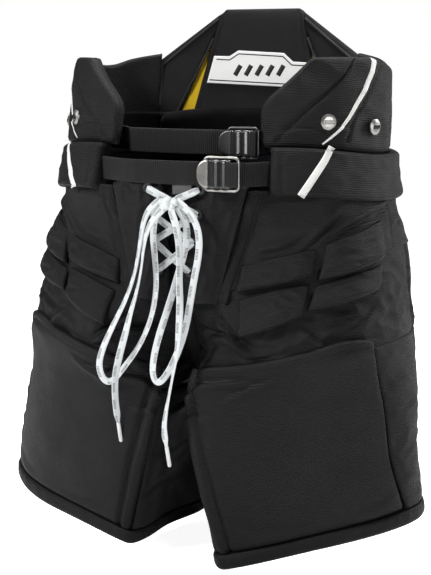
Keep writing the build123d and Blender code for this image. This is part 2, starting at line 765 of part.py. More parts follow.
def lace_strip(start, end, y_back):
    """A flat strip of lace between two (x, z) points, its back face at y_back."""
    (x1, z1), (x2, z2) = start, end
    run = Vector(x2 - x1, z2 - z1)
    with BuildPart() as strip:
        with BuildSketch(Plane.XZ.offset(-y_back)):
            with Locations(((x1 + x2) / 2, (z1 + z2) / 2)):
                SlotCenterToCenter(run.length, LACE_WIDE, rotation=Vector(1, 0).get_signed_angle(run))
        extrude(amount=LACE_THICK)
    return strip.part


with BuildPart() as lacing:
    for (x1, z1), (x2, z2) in zip(EYELETS, EYELETS[1:]):
        add(lace_strip((-x1, z1), (x2, z2), LACE_FRONT_Y))
        add(lace_strip((x1, z1), (-x2, z2), LACE_FRONT_Y - LACE_THICK))
    for side in (-1, 1):
        start = (side * EYELETS[0][0], EYELETS[0][1])
        add(lace_strip(start, (side * 6, 440), LACE_FRONT_Y - 2 * LACE_THICK))
save(lacing.part, "lacing")

with BuildPart() as lace_knot:
    with BuildSketch(Plane.XZ.offset(-KNOT_Y[1])):
        with Locations((0, sum(KNOT_Z) / 2)):
            Rectangle(2 * KNOT_X, KNOT_Z[1] - KNOT_Z[0])
    extrude(amount=KNOT_Y[1] - KNOT_Y[0])
    fillet(lace_knot.edges().filter_by(Axis.Y), 2)
save(lace_knot.part, "lace_knot")

cord_tube("lace_loop_right", LOOP_RIGHT)
cord_tube("lace_loop_left", LOOP_LEFT)
tail_right = cord_tube("lace_tail_right", TAIL_RIGHT)
tail_left = cord_tube("lace_tail_left", TAIL_LEFT)

with BuildPart() as aglets:
    for tail in (tail_right, tail_left):
        with BuildSketch(Plane(origin=tail @ 1, z_dir=tail % 1)):
            Circle(AGLET_R)
        extrude(amount=AGLET_LENGTH)
save(aglets.part, "aglets")
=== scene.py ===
"""Looks for the goalie hockey pants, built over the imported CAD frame.

The soft panels are patches of one smooth body form. A place on that form is (u, z): u runs from 0 at
the centre front round the wearer's outside to 8 at the centre back, 8 to 10 is the inner leg, and z is
the height in millimetres. Panels are made for the wearer's left, +X, and mirrored for the right.
"""

import math

import bmesh
import bpy
import numpy as np
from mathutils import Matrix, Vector, noise
from mathutils.bvhtree import BVHTree


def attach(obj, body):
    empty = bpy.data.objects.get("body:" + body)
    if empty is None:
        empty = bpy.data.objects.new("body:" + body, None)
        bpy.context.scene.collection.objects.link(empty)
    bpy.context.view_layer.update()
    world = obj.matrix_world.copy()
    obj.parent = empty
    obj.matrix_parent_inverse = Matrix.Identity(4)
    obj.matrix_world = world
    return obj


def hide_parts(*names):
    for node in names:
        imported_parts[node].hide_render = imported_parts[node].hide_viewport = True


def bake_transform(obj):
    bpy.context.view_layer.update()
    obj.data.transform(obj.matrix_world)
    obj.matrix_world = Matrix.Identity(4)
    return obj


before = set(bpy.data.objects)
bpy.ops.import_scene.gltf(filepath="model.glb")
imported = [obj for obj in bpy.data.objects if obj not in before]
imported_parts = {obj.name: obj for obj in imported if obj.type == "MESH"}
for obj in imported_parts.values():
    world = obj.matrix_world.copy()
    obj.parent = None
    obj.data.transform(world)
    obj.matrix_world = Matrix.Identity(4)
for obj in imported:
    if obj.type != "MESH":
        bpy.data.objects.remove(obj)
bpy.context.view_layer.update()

MM = 0.001
SIDES = {"left": 1, "right": -1}

# ---- camera: where the photographer stood ----------------------------------------------------
CAMERA_TARGET = Vector((-0.0028, -0.011, 0.3177))
CAMERA_AZIMUTH = math.radians(24.13)
CAMERA_ELEVATION = math.radians(10.0)
CAMERA_DISTANCE = 1.6013
CAMERA_LENS = 80.5
CAMERA_SENSOR = 36.0  # millimetres, as the lens


def make_camera():
    level = math.cos(CAMERA_ELEVATION)
    away = (math.sin(CAMERA_AZIMUTH) * level, -math.cos(CAMERA_AZIMUTH) * level, math.sin(CAMERA_ELEVATION))
    back = Vector(away)
    data = bpy.data.cameras.new("camera")
    data.lens = CAMERA_LENS
    data.sensor_width = CAMERA_SENSOR
    data.clip_end = 20.0
    camera = bpy.data.objects.new("camera", data)
    camera.location = CAMERA_TARGET + back * CAMERA_DISTANCE
    camera.rotation_euler = (-back).to_track_quat("-Z", "Y").to_euler()
    bpy.context.scene.collection.objects.link(camera)
    bpy.context.scene.camera = camera


make_camera()

# ---- the body form ---------------------------------------------------------------------------
HEM_OUTLINE = [
    (40, -49), (57, -131), (165, -97), (245, -57), (281, -1),
    (262, 56), (200, 98), (110, 111), (50, 86), (24, 21),
]  # fmt: skip
THIGH_OUTLINE = [
    (27, -49), (47, -133), (158, -105), (236, -63), (270, -16),
    (252, 47), (190, 95), (100, 114), (38, 96), (12, 21),
]  # fmt: skip
CROTCH_OUTLINE = [
    (3, -43), (42, -134), (150, -117), (224, -69), (252, -9),
    (230, 49), (168, 97), (80, 122), (3, 122), (3, 31),
]  # fmt: skip
THIGH_Z = 100.0
CROTCH_Z = 217.0
# Girdle sections: height, half width, centre y, front depth, back depth
GIRDLE = [
    (285.0, 244.0, 0.0, 150.0, 139.0),
    (345.0, 236.0, 15.0, 145.0, 135.0),
    (397.0, 225.0, 27.0, 150.0, 127.0),
    (446.0, 214.0, 22.0, 150.0, 128.0),
    (500.0, 207.0, 27.0, 142.0, 123.0),
    (548.0, 205.0, 34.0, 140.0, 112.0),
    (600.0, 202.0, 42.0, 140.0, 105.0),
]
CENTRE_FRONT_LOW = -101.0
SQUARENESS = 2.4
RING = 10.0  # u once round a leg


def girdle_row(height, wide, middle, front, back):
    """The ten outline points of a girdle section, in the same order as a thigh's."""
    power = 2 / SQUARENESS
    centre_front = CENTRE_FRONT_LOW if height == GIRDLE[0][0] else middle - front
    row = [(0, centre_front)]
    for angle in (75, 50, 25, 0, -25, -50, -75):
        turn = math.radians(abs(angle))
        depth = -front if angle >= 0 else back
        row.append((wide * math.cos(turn) ** power, middle + depth * math.sin(turn) ** power))
    return row + [(0, middle + back), (0, middle)]


HEIGHTS = np.array([0.0, THIGH_Z, CROTCH_Z] + [section[0] for section in GIRDLE])
ROWS = np.array(
    [HEM_OUTLINE, THIGH_OUTLINE, CROTCH_OUTLINE] + [girdle_row(*section) for section in GIRDLE], float
)
ROW_SLOPES = np.gradient(ROWS, HEIGHTS, axis=0)


def smooth(t):
    t = np.clip(t, 0, 1)
    return t * t * (3 - 2 * t)


def catmull(a, b, c, d, t):
    """The smooth curve from b to c with neighbours a and d."""
    return 0.5 * (2 * b + (c - a) * t + (2 * a - 5 * b + 4 * c - d) * t**2 + (3 * b - a - 3 * c + d) * t**3)


def rows_at(z):
    """The ten outline points at each height, by Hermite curves between the sections."""
    k = np.clip(np.searchsorted(HEIGHTS, z) - 1, 0, len(HEIGHTS) - 2)
    span = (HEIGHTS[k + 1] - HEIGHTS[k])[..., None, None]
    t = ((z - HEIGHTS[k]) / (HEIGHTS[k + 1] - HEIGHTS[k]))[..., None, None]
    low = ROWS[k] * (2 * t**3 - 3 * t**2 + 1) + ROW_SLOPES[k] * span * (t**3 - 2 * t**2 + t)
    return low + ROWS[k + 1] * (3 * t**2 - 2 * t**3) + ROW_SLOPES[k + 1] * span * (t**3 - t**2)


def corner(rows, k, closed):
    """Outline point k: round a leg when closed, else mirrored past the centre front and back."""
    index = np.mod(k, 10) if closed else np.where(np.abs(k) > 8, 16 - np.abs(k), np.abs(k))
    point = np.take_along_axis(rows, index[..., None, None], axis=-2)[..., 0, :].copy()
    if not closed:
        point[..., 0] *= np.where((k < 0) | (k > 8), -1, 1)
    return point


def along_row(rows, u, closed):
    k = np.floor(u).astype(int)
    quad = [corner(rows, k + i, closed) for i in (-1, 0, 1, 2)]
    return catmull(*quad, (u - k)[..., None])


def body_form(u, z):
    """Points of the form, in millimetres: two leg rings below the crotch, one girdle above."""
    u, z = np.broadcast_arrays(np.asarray(u, float), np.asarray(z, float))
    rows = rows_at(z)
    share = smooth((z - CROTCH_Z) / 30)[..., None]
    plan = along_row(rows, u, True) * (1 - share) + along_row(rows, u, False) * share
    return np.concatenate([plan, z[..., None]], axis=-1)


def unit(vectors):
    return vectors / np.maximum(np.linalg.norm(vectors, axis=-1, keepdims=True), 1e-9)


def with_normals(surface, u, z, du, dz):
    points = surface(u, z)
    across = surface(u + du, z) - surface(u - du, z)
    upward = surface(u, z + dz) - surface(u, z - dz)
    return points, unit(np.cross(across, upward))


def on_body(u, z):
    return with_normals(body_form, u, z, 0.01, 1.0)


def u_at(x, z, back=False):
    """The place u on the form's front, or back, where it is x wide at height z."""
    x, z = np.broadcast_arrays(np.asarray(x, float), np.asarray(z, float))
    low = np.full(x.shape, 8.0 if back else 0.0)
    high = np.full(x.shape, 4.0)
    for _ in range(24):
        middle = (low + high) / 2
        short = body_form(middle, z)[..., 0] < x
        low = np.where(short, middle, low)
        high = np.where(short, high, middle)
    return (low + high) / 2


def sloping(u, height, slope):
    """Heights z on the form where z = height + slope * x."""
    z = np.full(np.shape(u), float(height))
    for _ in range(12):
        z = height + slope * np.abs(body_form(u, z)[..., 0])
    return z


def slope_line(start, end, height, slope, count=17):
    """(u, z) points along a line that rises with x."""
    u = np.linspace(start, end, count)
    return list(zip(u, sloping(u, height, slope)))


# ---- panels: height fields on a surface ------------------------------------------------------
EDGE_STEPS = np.array([0.0, 0.4, 1.0, 1.9, 3.0, 4.4, 6.2])  # millimetres in from an edge
BODY_UNIT = 75.0  # one step of u in millimetres, about


def spacing(length, step):
    """Shares 0..1 along a side, closer together near both ends."""
    near = EDGE_STEPS * min(1.0, length / (3 * EDGE_STEPS[-1]))
    inner = np.linspace(near[-1], length - near[-1], max(2, round((length - 2 * near[-1]) / step)) + 1)
    return np.concatenate([near[:-1], inner, length - near[-2::-1]]) / length


def through(route, share, u_unit, sharp=False):
    """Points on the curve through a route, at shares 0..1 of its chord length."""
    p = np.asarray(route, float)
    gaps = np.linalg.norm(np.diff(p, axis=0) * [u_unit, 1], axis=1)
    knots = np.concatenate([[0], np.cumsum(gaps)]) / gaps.sum()
    if sharp:
        return np.stack([np.interp(share, knots, p[:, i]) for i in (0, 1)], -1)
    k = np.clip(np.searchsorted(knots, share, side="right") - 1, 0, len(p) - 2)
    t = (share - knots[k]) / (knots[k + 1] - knots[k])
    padded = np.vstack([2 * p[0] - p[1], p, 2 * p[-1] - p[-2]])
    return catmull(*(padded[k + i] for i in range(4)), t[:, None])


def lengths(points, axis):
    """Distance run along an axis of a grid of points, from its start."""
    steps = np.linalg.norm(np.diff(points, axis=axis), axis=-1)
    start = np.zeros_like(np.take(steps, [0], axis=axis))
    return np.concatenate([start, np.cumsum(steps, axis=axis)], axis=axis)


def hump(distance, width, power=2):
    """A smooth bump: 1 at distance 0 and nearly nothing past a few widths."""
    return np.exp(-((distance / width) ** power))


class Panel:
    """A four-sided patch of a surface, with a height in millimetres at each point of its grid.

    bottom and top are (u, z) routes from left to right; left and right are the points between them.
    """

    def __init__(self, bottom, top, left=(), right=(), step=2.8, surface=on_body, u_unit=BODY_UNIT,
                 ring=False, sharp=False):  # fmt: skip
        self.surface, self.ring, self.u_unit = surface, ring, u_unit
        left = [bottom[0], *left, top[0]]
        right = [bottom[-1], *right, top[-1]]

        def side_length(route):
            samples = through(route, np.linspace(0, 1, 50), u_unit, sharp)
            return lengths(surface(samples[:, 0], samples[:, 1])[0], 0)[-1]

        wide = max(side_length(bottom), side_length(top))
        high = max(side_length(left), side_length(right))
        across = np.linspace(0, 1, round(wide / step) + 1) if ring else spacing(wide, step)
        up = spacing(high, step)
        low, top_row = through(bottom, across, u_unit, sharp), through(top, across, u_unit, sharp)
        near, far = through(left, up, u_unit, sharp), through(right, up, u_unit, sharp)
        a, b = across[None, :, None], up[:, None, None]
        place = (1 - b) * low + b * top_row + (1 - a) * near[:, None] + a * far[:, None]
        place -= (1 - a) * ((1 - b) * low[0] + b * top_row[0]) + a * ((1 - b) * low[-1] + b * top_row[-1])
        self.u, self.z = place[..., 0], place[..., 1]
        self.base, self.normal = surface(self.u, self.z)
        self.along, self.up = lengths(self.base, 1), lengths(self.base, 0)
        never = np.full(self.u.shape, 1e3)
        self.gap = {
            "l": never if ring else self.along,
            "r": never if ring else self.along[:, -1:] - self.along,
            "b": self.up,
            "t": self.up[-1:] - self.up,
        }
        self.edge = np.minimum.reduce(list(self.gap.values()))
        self.height = np.zeros(self.u.shape)
        self.floor = 0.0
        self.back = None

    def lift(self, amount):
        self.height = self.height + amount
        self.floor += float(np.mean(amount))
        return self

    def roll(self, radius, sides="lrbt"):
        """Rounds the edges over."""
        short = sum(np.clip(1 - self.gap[s] / radius, 0, 1) ** 2 for s in sides)
        self.height -= radius * (1 - np.sqrt(np.clip(1 - short, 0, 1)))
        return self

    def crown(self, amount, reach, sides="lrbt"):
        """Swells the middle."""
        share = 1.0
        for s in sides:
            share = share * (1 - np.exp(-self.gap[s] / reach))
        self.height = self.height + amount * share
        return self

    def mark(self, route, profile, spread):
        """Adds profile(distance to the side, share along) near a route of (u, z) points."""
        shares = np.linspace(0, 1, 70)
        place = through(route, shares, self.u_unit)
        line, _ = self.surface(place[:, 0], place[:, 1])
        offset = self.base[:, :, None] - line
        nearest = np.linalg.norm(offset, axis=-1).argmin(-1)
        offset = np.take_along_axis(offset, nearest[..., None, None], axis=2)[:, :, 0]
        ahead = unit(np.gradient(line, axis=0))[nearest]
        beside = unit(np.cross(self.normal, ahead))
        past_end = np.abs((offset * ahead).sum(-1))
        fade = hump(past_end, spread)
        self.height += profile((offset * beside).sum(-1), shares[nearest]) * fade
        return self

    def seam(self, route, depth=1.3, width=1.6):
        return self.mark(route, lambda d, s: -depth * hump(d, width), width)

    def fold(self, route, height, width, sharpness=0.8):
        """A ridge with a sharper valley on its left, fading at both ends."""

        def profile(d, s):
            valley = hump(d - 1.15 * width, 0.55 * width)
            ends = np.sin(np.pi * np.clip(s, 0.02, 0.98)) ** 0.6
            return height * (hump(d, width) - sharpness * valley) * ends

        return self.mark(route, profile, width)

    def crumple(self, amount, size, seed, stretch=(1, 1, 1), where=1.0, fade=7.0):
        """Seeded creases: ridged noise over the surface, fading towards the edges."""
        points = self.base / size * stretch + seed * 17.3
        value = np.array([1 - 2 * abs(noise.noise(Vector(p))) for p in points.reshape(-1, 3)])
        value = value.reshape(self.u.shape) - 0.62
        self.height += amount * value * where * smooth(self.edge / fade)
        return self

    def sag(self, amount, size, seed, where=1.0):
        """Broad soft unevenness."""
        points = self.base / size + seed * 11.7
        value = np.array([noise.noise(Vector(p)) for p in points.reshape(-1, 3)])
        self.height += amount * value.reshape(self.u.shape) * where * smooth(self.edge / 10)
        return self

    def narrow(self, depth, start, end):
        """Draws the panel in at the wearer's side, between two places u."""
        self.height -= depth * smooth((self.u - start) / 0.9) * smooth((end - self.u) / 0.9)
        return self

    def face(self):
        return self.base + self.normal * self.height[..., None]

    def shell(self, thickness, back_roll=0.0):
        """Vertices, faces and cloth coordinates of the closed patch."""
        rows, columns = self.u.shape
        back = np.full(self.u.shape, self.floor - thickness if self.back is None else self.back)
        if back_roll:
            near = np.clip(1 - self.edge / back_roll, 0, 1)
            back += back_roll * (1 - np.sqrt(1 - near**2))
        inner = self.base + self.normal * back[..., None]
        index = np.arange(rows * columns).reshape(rows, columns)
        if self.ring:
            index[:, -1] = index[:, 0]
        under = index + rows * columns
        faces = quads(index) + [f[::-1] for f in quads(under)]
        border = [index[0], index[-1][::-1]]
        border_under = [under[0], under[-1][::-1]]
        if not self.ring:
            border += [index[:, -1], index[::-1, 0]]
            border_under += [under[:, -1], under[::-1, 0]]
        for top, low in zip(border, border_under):
            faces += [(top[i + 1], top[i], low[i], low[i + 1]) for i in range(len(top) - 1)]
        points = np.concatenate([self.face().reshape(-1, 3), inner.reshape(-1, 3)])
        cloth = np.stack([self.along, self.up, self.edge], -1).reshape(-1, 3)
        return points, faces, np.concatenate([cloth, cloth])


def quads(index):
    a, b, c, d = index[:-1, :-1], index[:-1, 1:], index[1:, 1:], index[1:, :-1]
    return np.stack([a, b, c, d], -1).reshape(-1, 4).tolist()


def mesh_object(name, points, faces, cloth=None, side=1):
    """A smooth mesh object from millimetre points; side -1 mirrors it to the wearer's right."""
    points = np.asarray(points, float) * MM
    if side < 0:
        points = points * [-1, 1, 1]
        faces = [tuple(f)[::-1] for f in faces]
    mesh = bpy.data.meshes.new(name)
    mesh.from_pydata(points.tolist(), [], faces)
    if cloth is not None:
        layer = mesh.attributes.new("cloth", "FLOAT_VECTOR", "POINT")
        layer.data.foreach_set("vector", (np.asarray(cloth, float) * MM).astype(np.float32).ravel())
    mesh.validate()
    clean_loose(mesh)
    mesh.polygons.foreach_set("use_smooth", [True] * len(mesh.polygons))
    made = bpy.data.objects.new(name, mesh)
    bpy.context.scene.collection.objects.link(made)
    return made


def clean_loose(mesh):
    """Drops vertices that no face uses, such as the last column of a ring."""
    work = bmesh.new()
    work.from_mesh(mesh)
    loose = [v for v in work.verts if not v.link_faces]
    bmesh.ops.delete(work, geom=loose, context="VERTS")
    bmesh.ops.recalc_face_normals(work, faces=work.faces)
    work.to_mesh(mesh)
    work.free()


def join_shells(shells):
    """Several (points, faces, cloth) as one."""
    points, faces, cloth, start = [], [], [], 0
    for p, f, c in shells:
        faces += [tuple(i + start for i in face) for face in f]
        points.append(p)
        cloth.append(c)
        start += len(p)
    return np.concatenate(points), faces, np.concatenate(cloth)


# ---- materials -------------------------------------------------------------------------------
def node(tree, kind, values=(), **settings):
    made = tree.nodes.new(kind)
    for key, value in settings.items():
        setattr(made, key, value)
    for key, value in dict(values).items():
        made.inputs[key].default_value = value
    return made


def link(tree, a, out, b, into):
    tree.links.new(a.outputs[out], b.inputs[into])


def maths(tree, operation, *values):
    """A Math node on sockets or numbers; returns its output socket."""
    made = node(tree, "ShaderNodeMath", operation=operation)
    for into, value in zip(made.inputs, values):
        if isinstance(value, (int, float)):
            into.default_value = value
        else:
            tree.links.new(value, into)
    return made.outputs[0]


def new_material(name, roughness=0.6, metallic=0.0, sheen=0.0, specular=0.5):
    material = bpy.data.materials.new(name)
    material.use_nodes = True
    tree = material.node_tree
    shader = tree.nodes["Principled BSDF"]
    values = {"Roughness": roughness, "Metallic": metallic, "Sheen Weight": sheen, "Sheen Roughness": 0.4,
              "Specular IOR Level": specular}  # fmt: skip
    for key, value in values.items():
        shader.inputs[key].default_value = value
    return material, tree, shader


def cloth_axes(tree):
    """Sockets of the cloth coordinates, in metres: along, up, and in from the edge."""
    read = node(tree, "ShaderNodeAttribute", attribute_name="cloth")
    split = node(tree, "ShaderNodeSeparateXYZ")
    link(tree, read, "Vector", split, "Vector")
    return split.outputs


def ribs(tree, axis, period, sharpness=1.0):
    """Rounded ribs across an axis, 0..1."""
    wave = maths(tree, "SINE", maths(tree, "MULTIPLY", axis, 2 * math.pi / period))
    lifted = maths(tree, "MULTIPLY_ADD", wave, 0.5, 0.5)
    return maths(tree, "POWER", lifted, sharpness)


def paint(tree, shader, share, low, high):
    """Base colour from one tone to another, by a share."""
    ramp = node(tree, "ShaderNodeValToRGB")
    ramp.color_ramp.elements[0].color = (*low, 1)
    ramp.color_ramp.elements[1].color = (*high, 1)
    tree.links.new(share, ramp.inputs[0])
    tree.links.new(ramp.outputs[0], shader.inputs["Base Color"])


def vary_roughness(tree, shader, scale, low):
    rough = maths(tree, "MULTIPLY_ADD", grain(tree, scale), 0.25, low)
    tree.links.new(rough, shader.inputs["Roughness"])


def grain(tree, scale, detail=4.0, roughness=0.6):
    """Noise in the piece's rest coordinates, 0..1."""
    place = node(tree, "ShaderNodeTexCoord")
    made = node(tree, "ShaderNodeTexNoise", {"Scale": scale, "Detail": detail, "Roughness": roughness})
    link(tree, place, "Object", made, "Vector")
    return made.outputs["Fac"]


def bump(tree, shader, height, strength, distance, after=None):
    made = node(tree, "ShaderNodeBump", {"Strength": strength, "Distance": distance})
    tree.links.new(height, made.inputs["Height"])
    if after is not None:
        tree.links.new(after, made.inputs["Normal"])
    tree.links.new(made.outputs[0], shader.inputs["Normal"])
    return made.outputs[0]


EDGE_HIGHLIGHT_REACH = 0.005  # metres in from an edge over which a painted highlight pales the colour
PLAIT = 0.0016  # metres from thread to thread of the lace
TICK_GROUP = 0.022  # metres from group to group of the lace's ticks
TICK_ACROSS = 0.0058  # metres across the lace to the row of ticks


def woven(name, dark, light, rib_mm=1.9, rib_depth_mm=0.34, roughness=0.55, sheen=0.02, upright=False,
          weft_mm=0.9, specular=0.17, edge_highlight=0.3):  # fmt: skip
    """Ribbed woven cloth: ribs, crossing threads, dust in the colour, and a painted highlight that pales the
    edges.
    """
    material, tree, shader = new_material(name, roughness, sheen=sheen, specular=specular)
    along, up, edge = cloth_axes(tree)
    across_ribs, along_ribs = (along, up) if upright else (up, along)
    waver = maths(tree, "MULTIPLY", grain(tree, 14.0, 2.0), 0.0012)
    rib = ribs(tree, maths(tree, "ADD", across_ribs, waver), rib_mm * MM, 0.8)
    weft = ribs(tree, along_ribs, weft_mm * MM, 0.7)
    threads = maths(tree, "MULTIPLY_ADD", weft, 0.35, rib)
    first = bump(tree, shader, threads, 1.0, rib_depth_mm * MM)
    bump(tree, shader, grain(tree, 90.0), 0.5, 0.0008, after=first)
    blotch = maths(tree, "MULTIPLY", grain(tree, 22.0, 5.0, 0.65), 0.45)
    # painted highlight: the colour is paler within a few millimetres of every edge, on the rolled edges
    painted_edge_highlight = maths(tree, "SUBTRACT", 1.0, maths(tree, "MULTIPLY", edge, 1 / EDGE_HIGHLIGHT_REACH))
    painted_edge_highlight = maths(tree, "MULTIPLY", maths(tree, "MAXIMUM", painted_edge_highlight, 0.0), edge_highlight)
    tone = maths(tree, "ADD", maths(tree, "MULTIPLY_ADD", rib, 0.55, blotch), painted_edge_highlight)
    paint(tree, shader, tone, dark, light)
    vary_roughness(tree, shader, 35.0, roughness - 0.12)
    return material


def knitted(name, dark, light, cell_mm=2.2):
    """Soft knitted lining: small cells and a brushed surface."""
    material, tree, shader = new_material(name, 0.9, sheen=0.05, specular=0.15)
    along, up, _ = cloth_axes(tree)
    cells = maths(tree, "MULTIPLY", ribs(tree, along, cell_mm * MM), ribs(tree, up, cell_mm * MM))
    first = bump(tree, shader, cells, 1.0, 0.0004)
    bump(tree, shader, grain(tree, 160.0), 0.6, 0.0006, after=first)
    paint(tree, shader, grain(tree, 30.0, 6.0), dark, light)
    return material


def velvet(name, dark, light):
    """Brushed tricot on the lumbar roll."""
    material, tree, shader = new_material(name, 0.95, sheen=0.06, specular=0.08)
    bump(tree, shader, grain(tree, 240.0), 0.8, 0.0007)
    paint(tree, shader, grain(tree, 45.0, 6.0), dark, light)
    return material


def metal(name, colour, roughness, scratch=0.5):
    material, tree, shader = new_material(name, roughness, metallic=1.0)
    place = node(tree, "ShaderNodeTexCoord")
    stretch = node(tree, "ShaderNodeMapping", {"Scale": (40, 40, 900)})
    brushed = node(tree, "ShaderNodeTexNoise", {"Scale": 1.0, "Detail": 3.0})
    link(tree, place, "Object", stretch, "Vector")
    link(tree, stretch, "Vector", brushed, "Vector")
    bump(tree, shader, brushed.outputs["Fac"], scratch, 0.00012)
    low = tuple(c * 0.72 for c in colour)
    paint(tree, shader, grain(tree, 60.0), low, colour)
    vary_roughness(tree, shader, 120.0, roughness - 0.1)
    return material


def moulded(name, dark, light, roughness=0.45, coat=0.0):
    """Moulded plastic with a fine spark-eroded grain."""
    material, tree, shader = new_material(name, roughness)
    shader.inputs["Coat Weight"].default_value = coat
    bump(tree, shader, grain(tree, 700.0, 2.0), 0.35, 0.0002)
    paint(tree, shader, grain(tree, 40.0), dark, light)
    return material


def laced(name):
    """Flat woven lace: white diagonal plait with groups of short dark ticks along one edge."""
    material, tree, shader = new_material(name, 0.75, sheen=0.05, specular=0.3)
    along, across, _ = cloth_axes(tree)
    plus = maths(tree, "ADD", along, across)
    minus = maths(tree, "SUBTRACT", along, across)
    plait = maths(tree, "MAXIMUM", ribs(tree, plus, PLAIT), ribs(tree, minus, PLAIT))
    bump(tree, shader, plait, 1.0, 0.0003)
    tick = maths(tree, "GREATER_THAN", ribs(tree, along, PLAIT), 0.55)
    group = maths(tree, "GREATER_THAN", ribs(tree, along, TICK_GROUP), 0.35)
    off_row = maths(tree, "ABSOLUTE", maths(tree, "SUBTRACT", across, TICK_ACROSS))
    in_row = maths(tree, "MULTIPLY", maths(tree, "LESS_THAN", off_row, 0.0016), 0.85)
    fleck = maths(tree, "MULTIPLY", maths(tree, "MULTIPLY", tick, group), in_row)
    paint(tree, shader, fleck, (0.70, 0.73, 0.74), (0.015, 0.015, 0.02))
    return material


BLACK = woven("black_nylon", (0.0010, 0.0010, 0.0012), (0.0088, 0.0090, 0.0098), rib_mm=2.5)
QUILTED = woven("quilted_nylon", (0.0012, 0.0012, 0.0014), (0.0100, 0.0102, 0.0112), rib_mm=2.4)
GUARD = woven("guard_nylon", (0.0011, 0.0011, 0.0014), (0.0078, 0.0080, 0.0092), rib_mm=2.6, roughness=0.5)
TRIM = woven("trim_tape", (0.0009, 0.0009, 0.0010), (0.0070, 0.0070, 0.0076), rib_mm=1.9, weft_mm=1.4)
WEBBING = woven("belt_webbing", (0.0012, 0.0012, 0.0013), (0.0190, 0.0185, 0.0180), rib_mm=2.5,
                rib_depth_mm=0.6, upright=True, weft_mm=1.2)  # fmt: skip
SPINE_CLOTH = woven("spine_nylon", (0.0016, 0.0016, 0.0018), (0.0085, 0.0085, 0.0092), rib_mm=1.3,
                    roughness=0.65)  # fmt: skip
PIPING = woven("grey_piping", (0.012, 0.012, 0.013), (0.040, 0.040, 0.042), rib_mm=1.3, roughness=0.5)
WHITE_TAPE = woven("white_tape", (0.60, 0.60, 0.58), (0.78, 0.78, 0.76), rib_mm=1.0, rib_depth_mm=0.08,
                   weft_mm=1.0, roughness=0.5, edge_highlight=0.1)  # fmt: skip
BADGE_WHITE = woven("badge_white", (0.62, 0.62, 0.61), (0.80, 0.80, 0.79), rib_mm=1.0, rib_depth_mm=0.06,
                    weft_mm=1.0, roughness=0.45, edge_highlight=0.05)  # fmt: skip
YELLOW = woven("stretch_yellow", (0.48, 0.30, 0.008), (0.78, 0.52, 0.02), rib_mm=1.4, upright=True, edge_highlight=0.1)
LABEL = woven("woven_label", (0.07, 0.07, 0.07), (0.17, 0.17, 0.165), rib_mm=0.8, weft_mm=2.6, edge_highlight=0.0)
THREAD = woven("black_thread", (0.006, 0.006, 0.006), (0.024, 0.024, 0.025), rib_mm=0.8, rib_depth_mm=0.1)
LINING = knitted("knit_lining", (0.0025, 0.003, 0.0045), (0.009, 0.010, 0.014))
VELVET = velvet("brushed_tricot", (0.0015, 0.0015, 0.0016), (0.006, 0.006, 0.0065))
BRIGHT_METAL = metal("bright_metal", (0.42, 0.41, 0.39), 0.36)
DARK_METAL = metal("dark_metal", (0.10, 0.10, 0.105), 0.38)
PLATE = moulded("guard_plastic", (0.015, 0.015, 0.016), (0.030, 0.030, 0.032))
CLEAR_TIP = moulded("aglet_plastic", (0.50, 0.51, 0.52), (0.70, 0.71, 0.72), roughness=0.22, coat=0.6)
LACE = laced("flat_lace")
BUCKLE_BLACK = moulded("buckle_black", (0.008, 0.008, 0.008), (0.018, 0.018, 0.019), roughness=0.25,
                       coat=0.5)  # fmt: skip


def bend_hip(piece, side):
    """Bakes the piece's transform into its mesh."""
    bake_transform(piece)


def bend_wing(piece, side):
    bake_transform(piece)


def dress(piece, material, nodes=()):
    """Material, slot and replaced CAD nodes of one piece."""
    piece.data.materials.append(material)
    if nodes:
        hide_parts(*nodes)
    return piece


def build(name, shells, side=1):
    points, faces, cloth = join_shells(shells)
    return mesh_object(name, points, faces, cloth, side)


def riding(name, shells, material, nodes=(), body="waist"):
    """A dressed piece that rides on one body."""
    piece = dress(build(name, shells), material, nodes)
    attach(piece, body)


LEG_SETTLE_Z = 290.0  # below here the two legs hang a little differently
FLARE = (9, 14)  # how far the right leg stands out at the hem, and how much more on its outside
HEM_SHIFT = (13, -24)  # how far its hem rises in front, and how much less on its outside
DRAWN_IN = 10  # how far the left leg is drawn in on both its sides


def settled(points, side):
    """The wearer's right leg flares outwards with a higher front hem, and the left stands straighter."""
    x, z = points[:, 0], points[:, 2]
    down = np.clip((LEG_SETTLE_Z - z) / LEG_SETTLE_Z, 0, 1)
    outer = smooth((x - 60) / 190)
    moved = points.copy()
    if side == "right":
        moved[:, 0] += down * (FLARE[0] + FLARE[1] * outer)
        moved[:, 2] += down**1.5 * (HEM_SHIFT[0] + HEM_SHIFT[1] * outer)
    else:
        inner = smooth((150 - x) / 100) * smooth(z / 150) * smooth((LEG_SETTLE_Z - z) / 50)
        moved[:, 0] -= DRAWN_IN * (inner + outer * smooth((215 - z) / 90))
    return moved


def ride_waist(piece, side):
    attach(piece, "waist")


def sided(kind, side, shells, material, hold, fill=None, also=()):
    """A dressed piece of one side. A padded one stands for the CAD node of its name, a trim for none."""
    name = f"{kind}_{side}"
    points, faces, cloth = join_shells(shells)
    if hold is bend_hip:
        points = settled(points, side)
    piece = mesh_object(name, points, faces, cloth, SIDES[side])
    dress(piece, material, [name, *also] if fill else ())
    hold(piece, side)


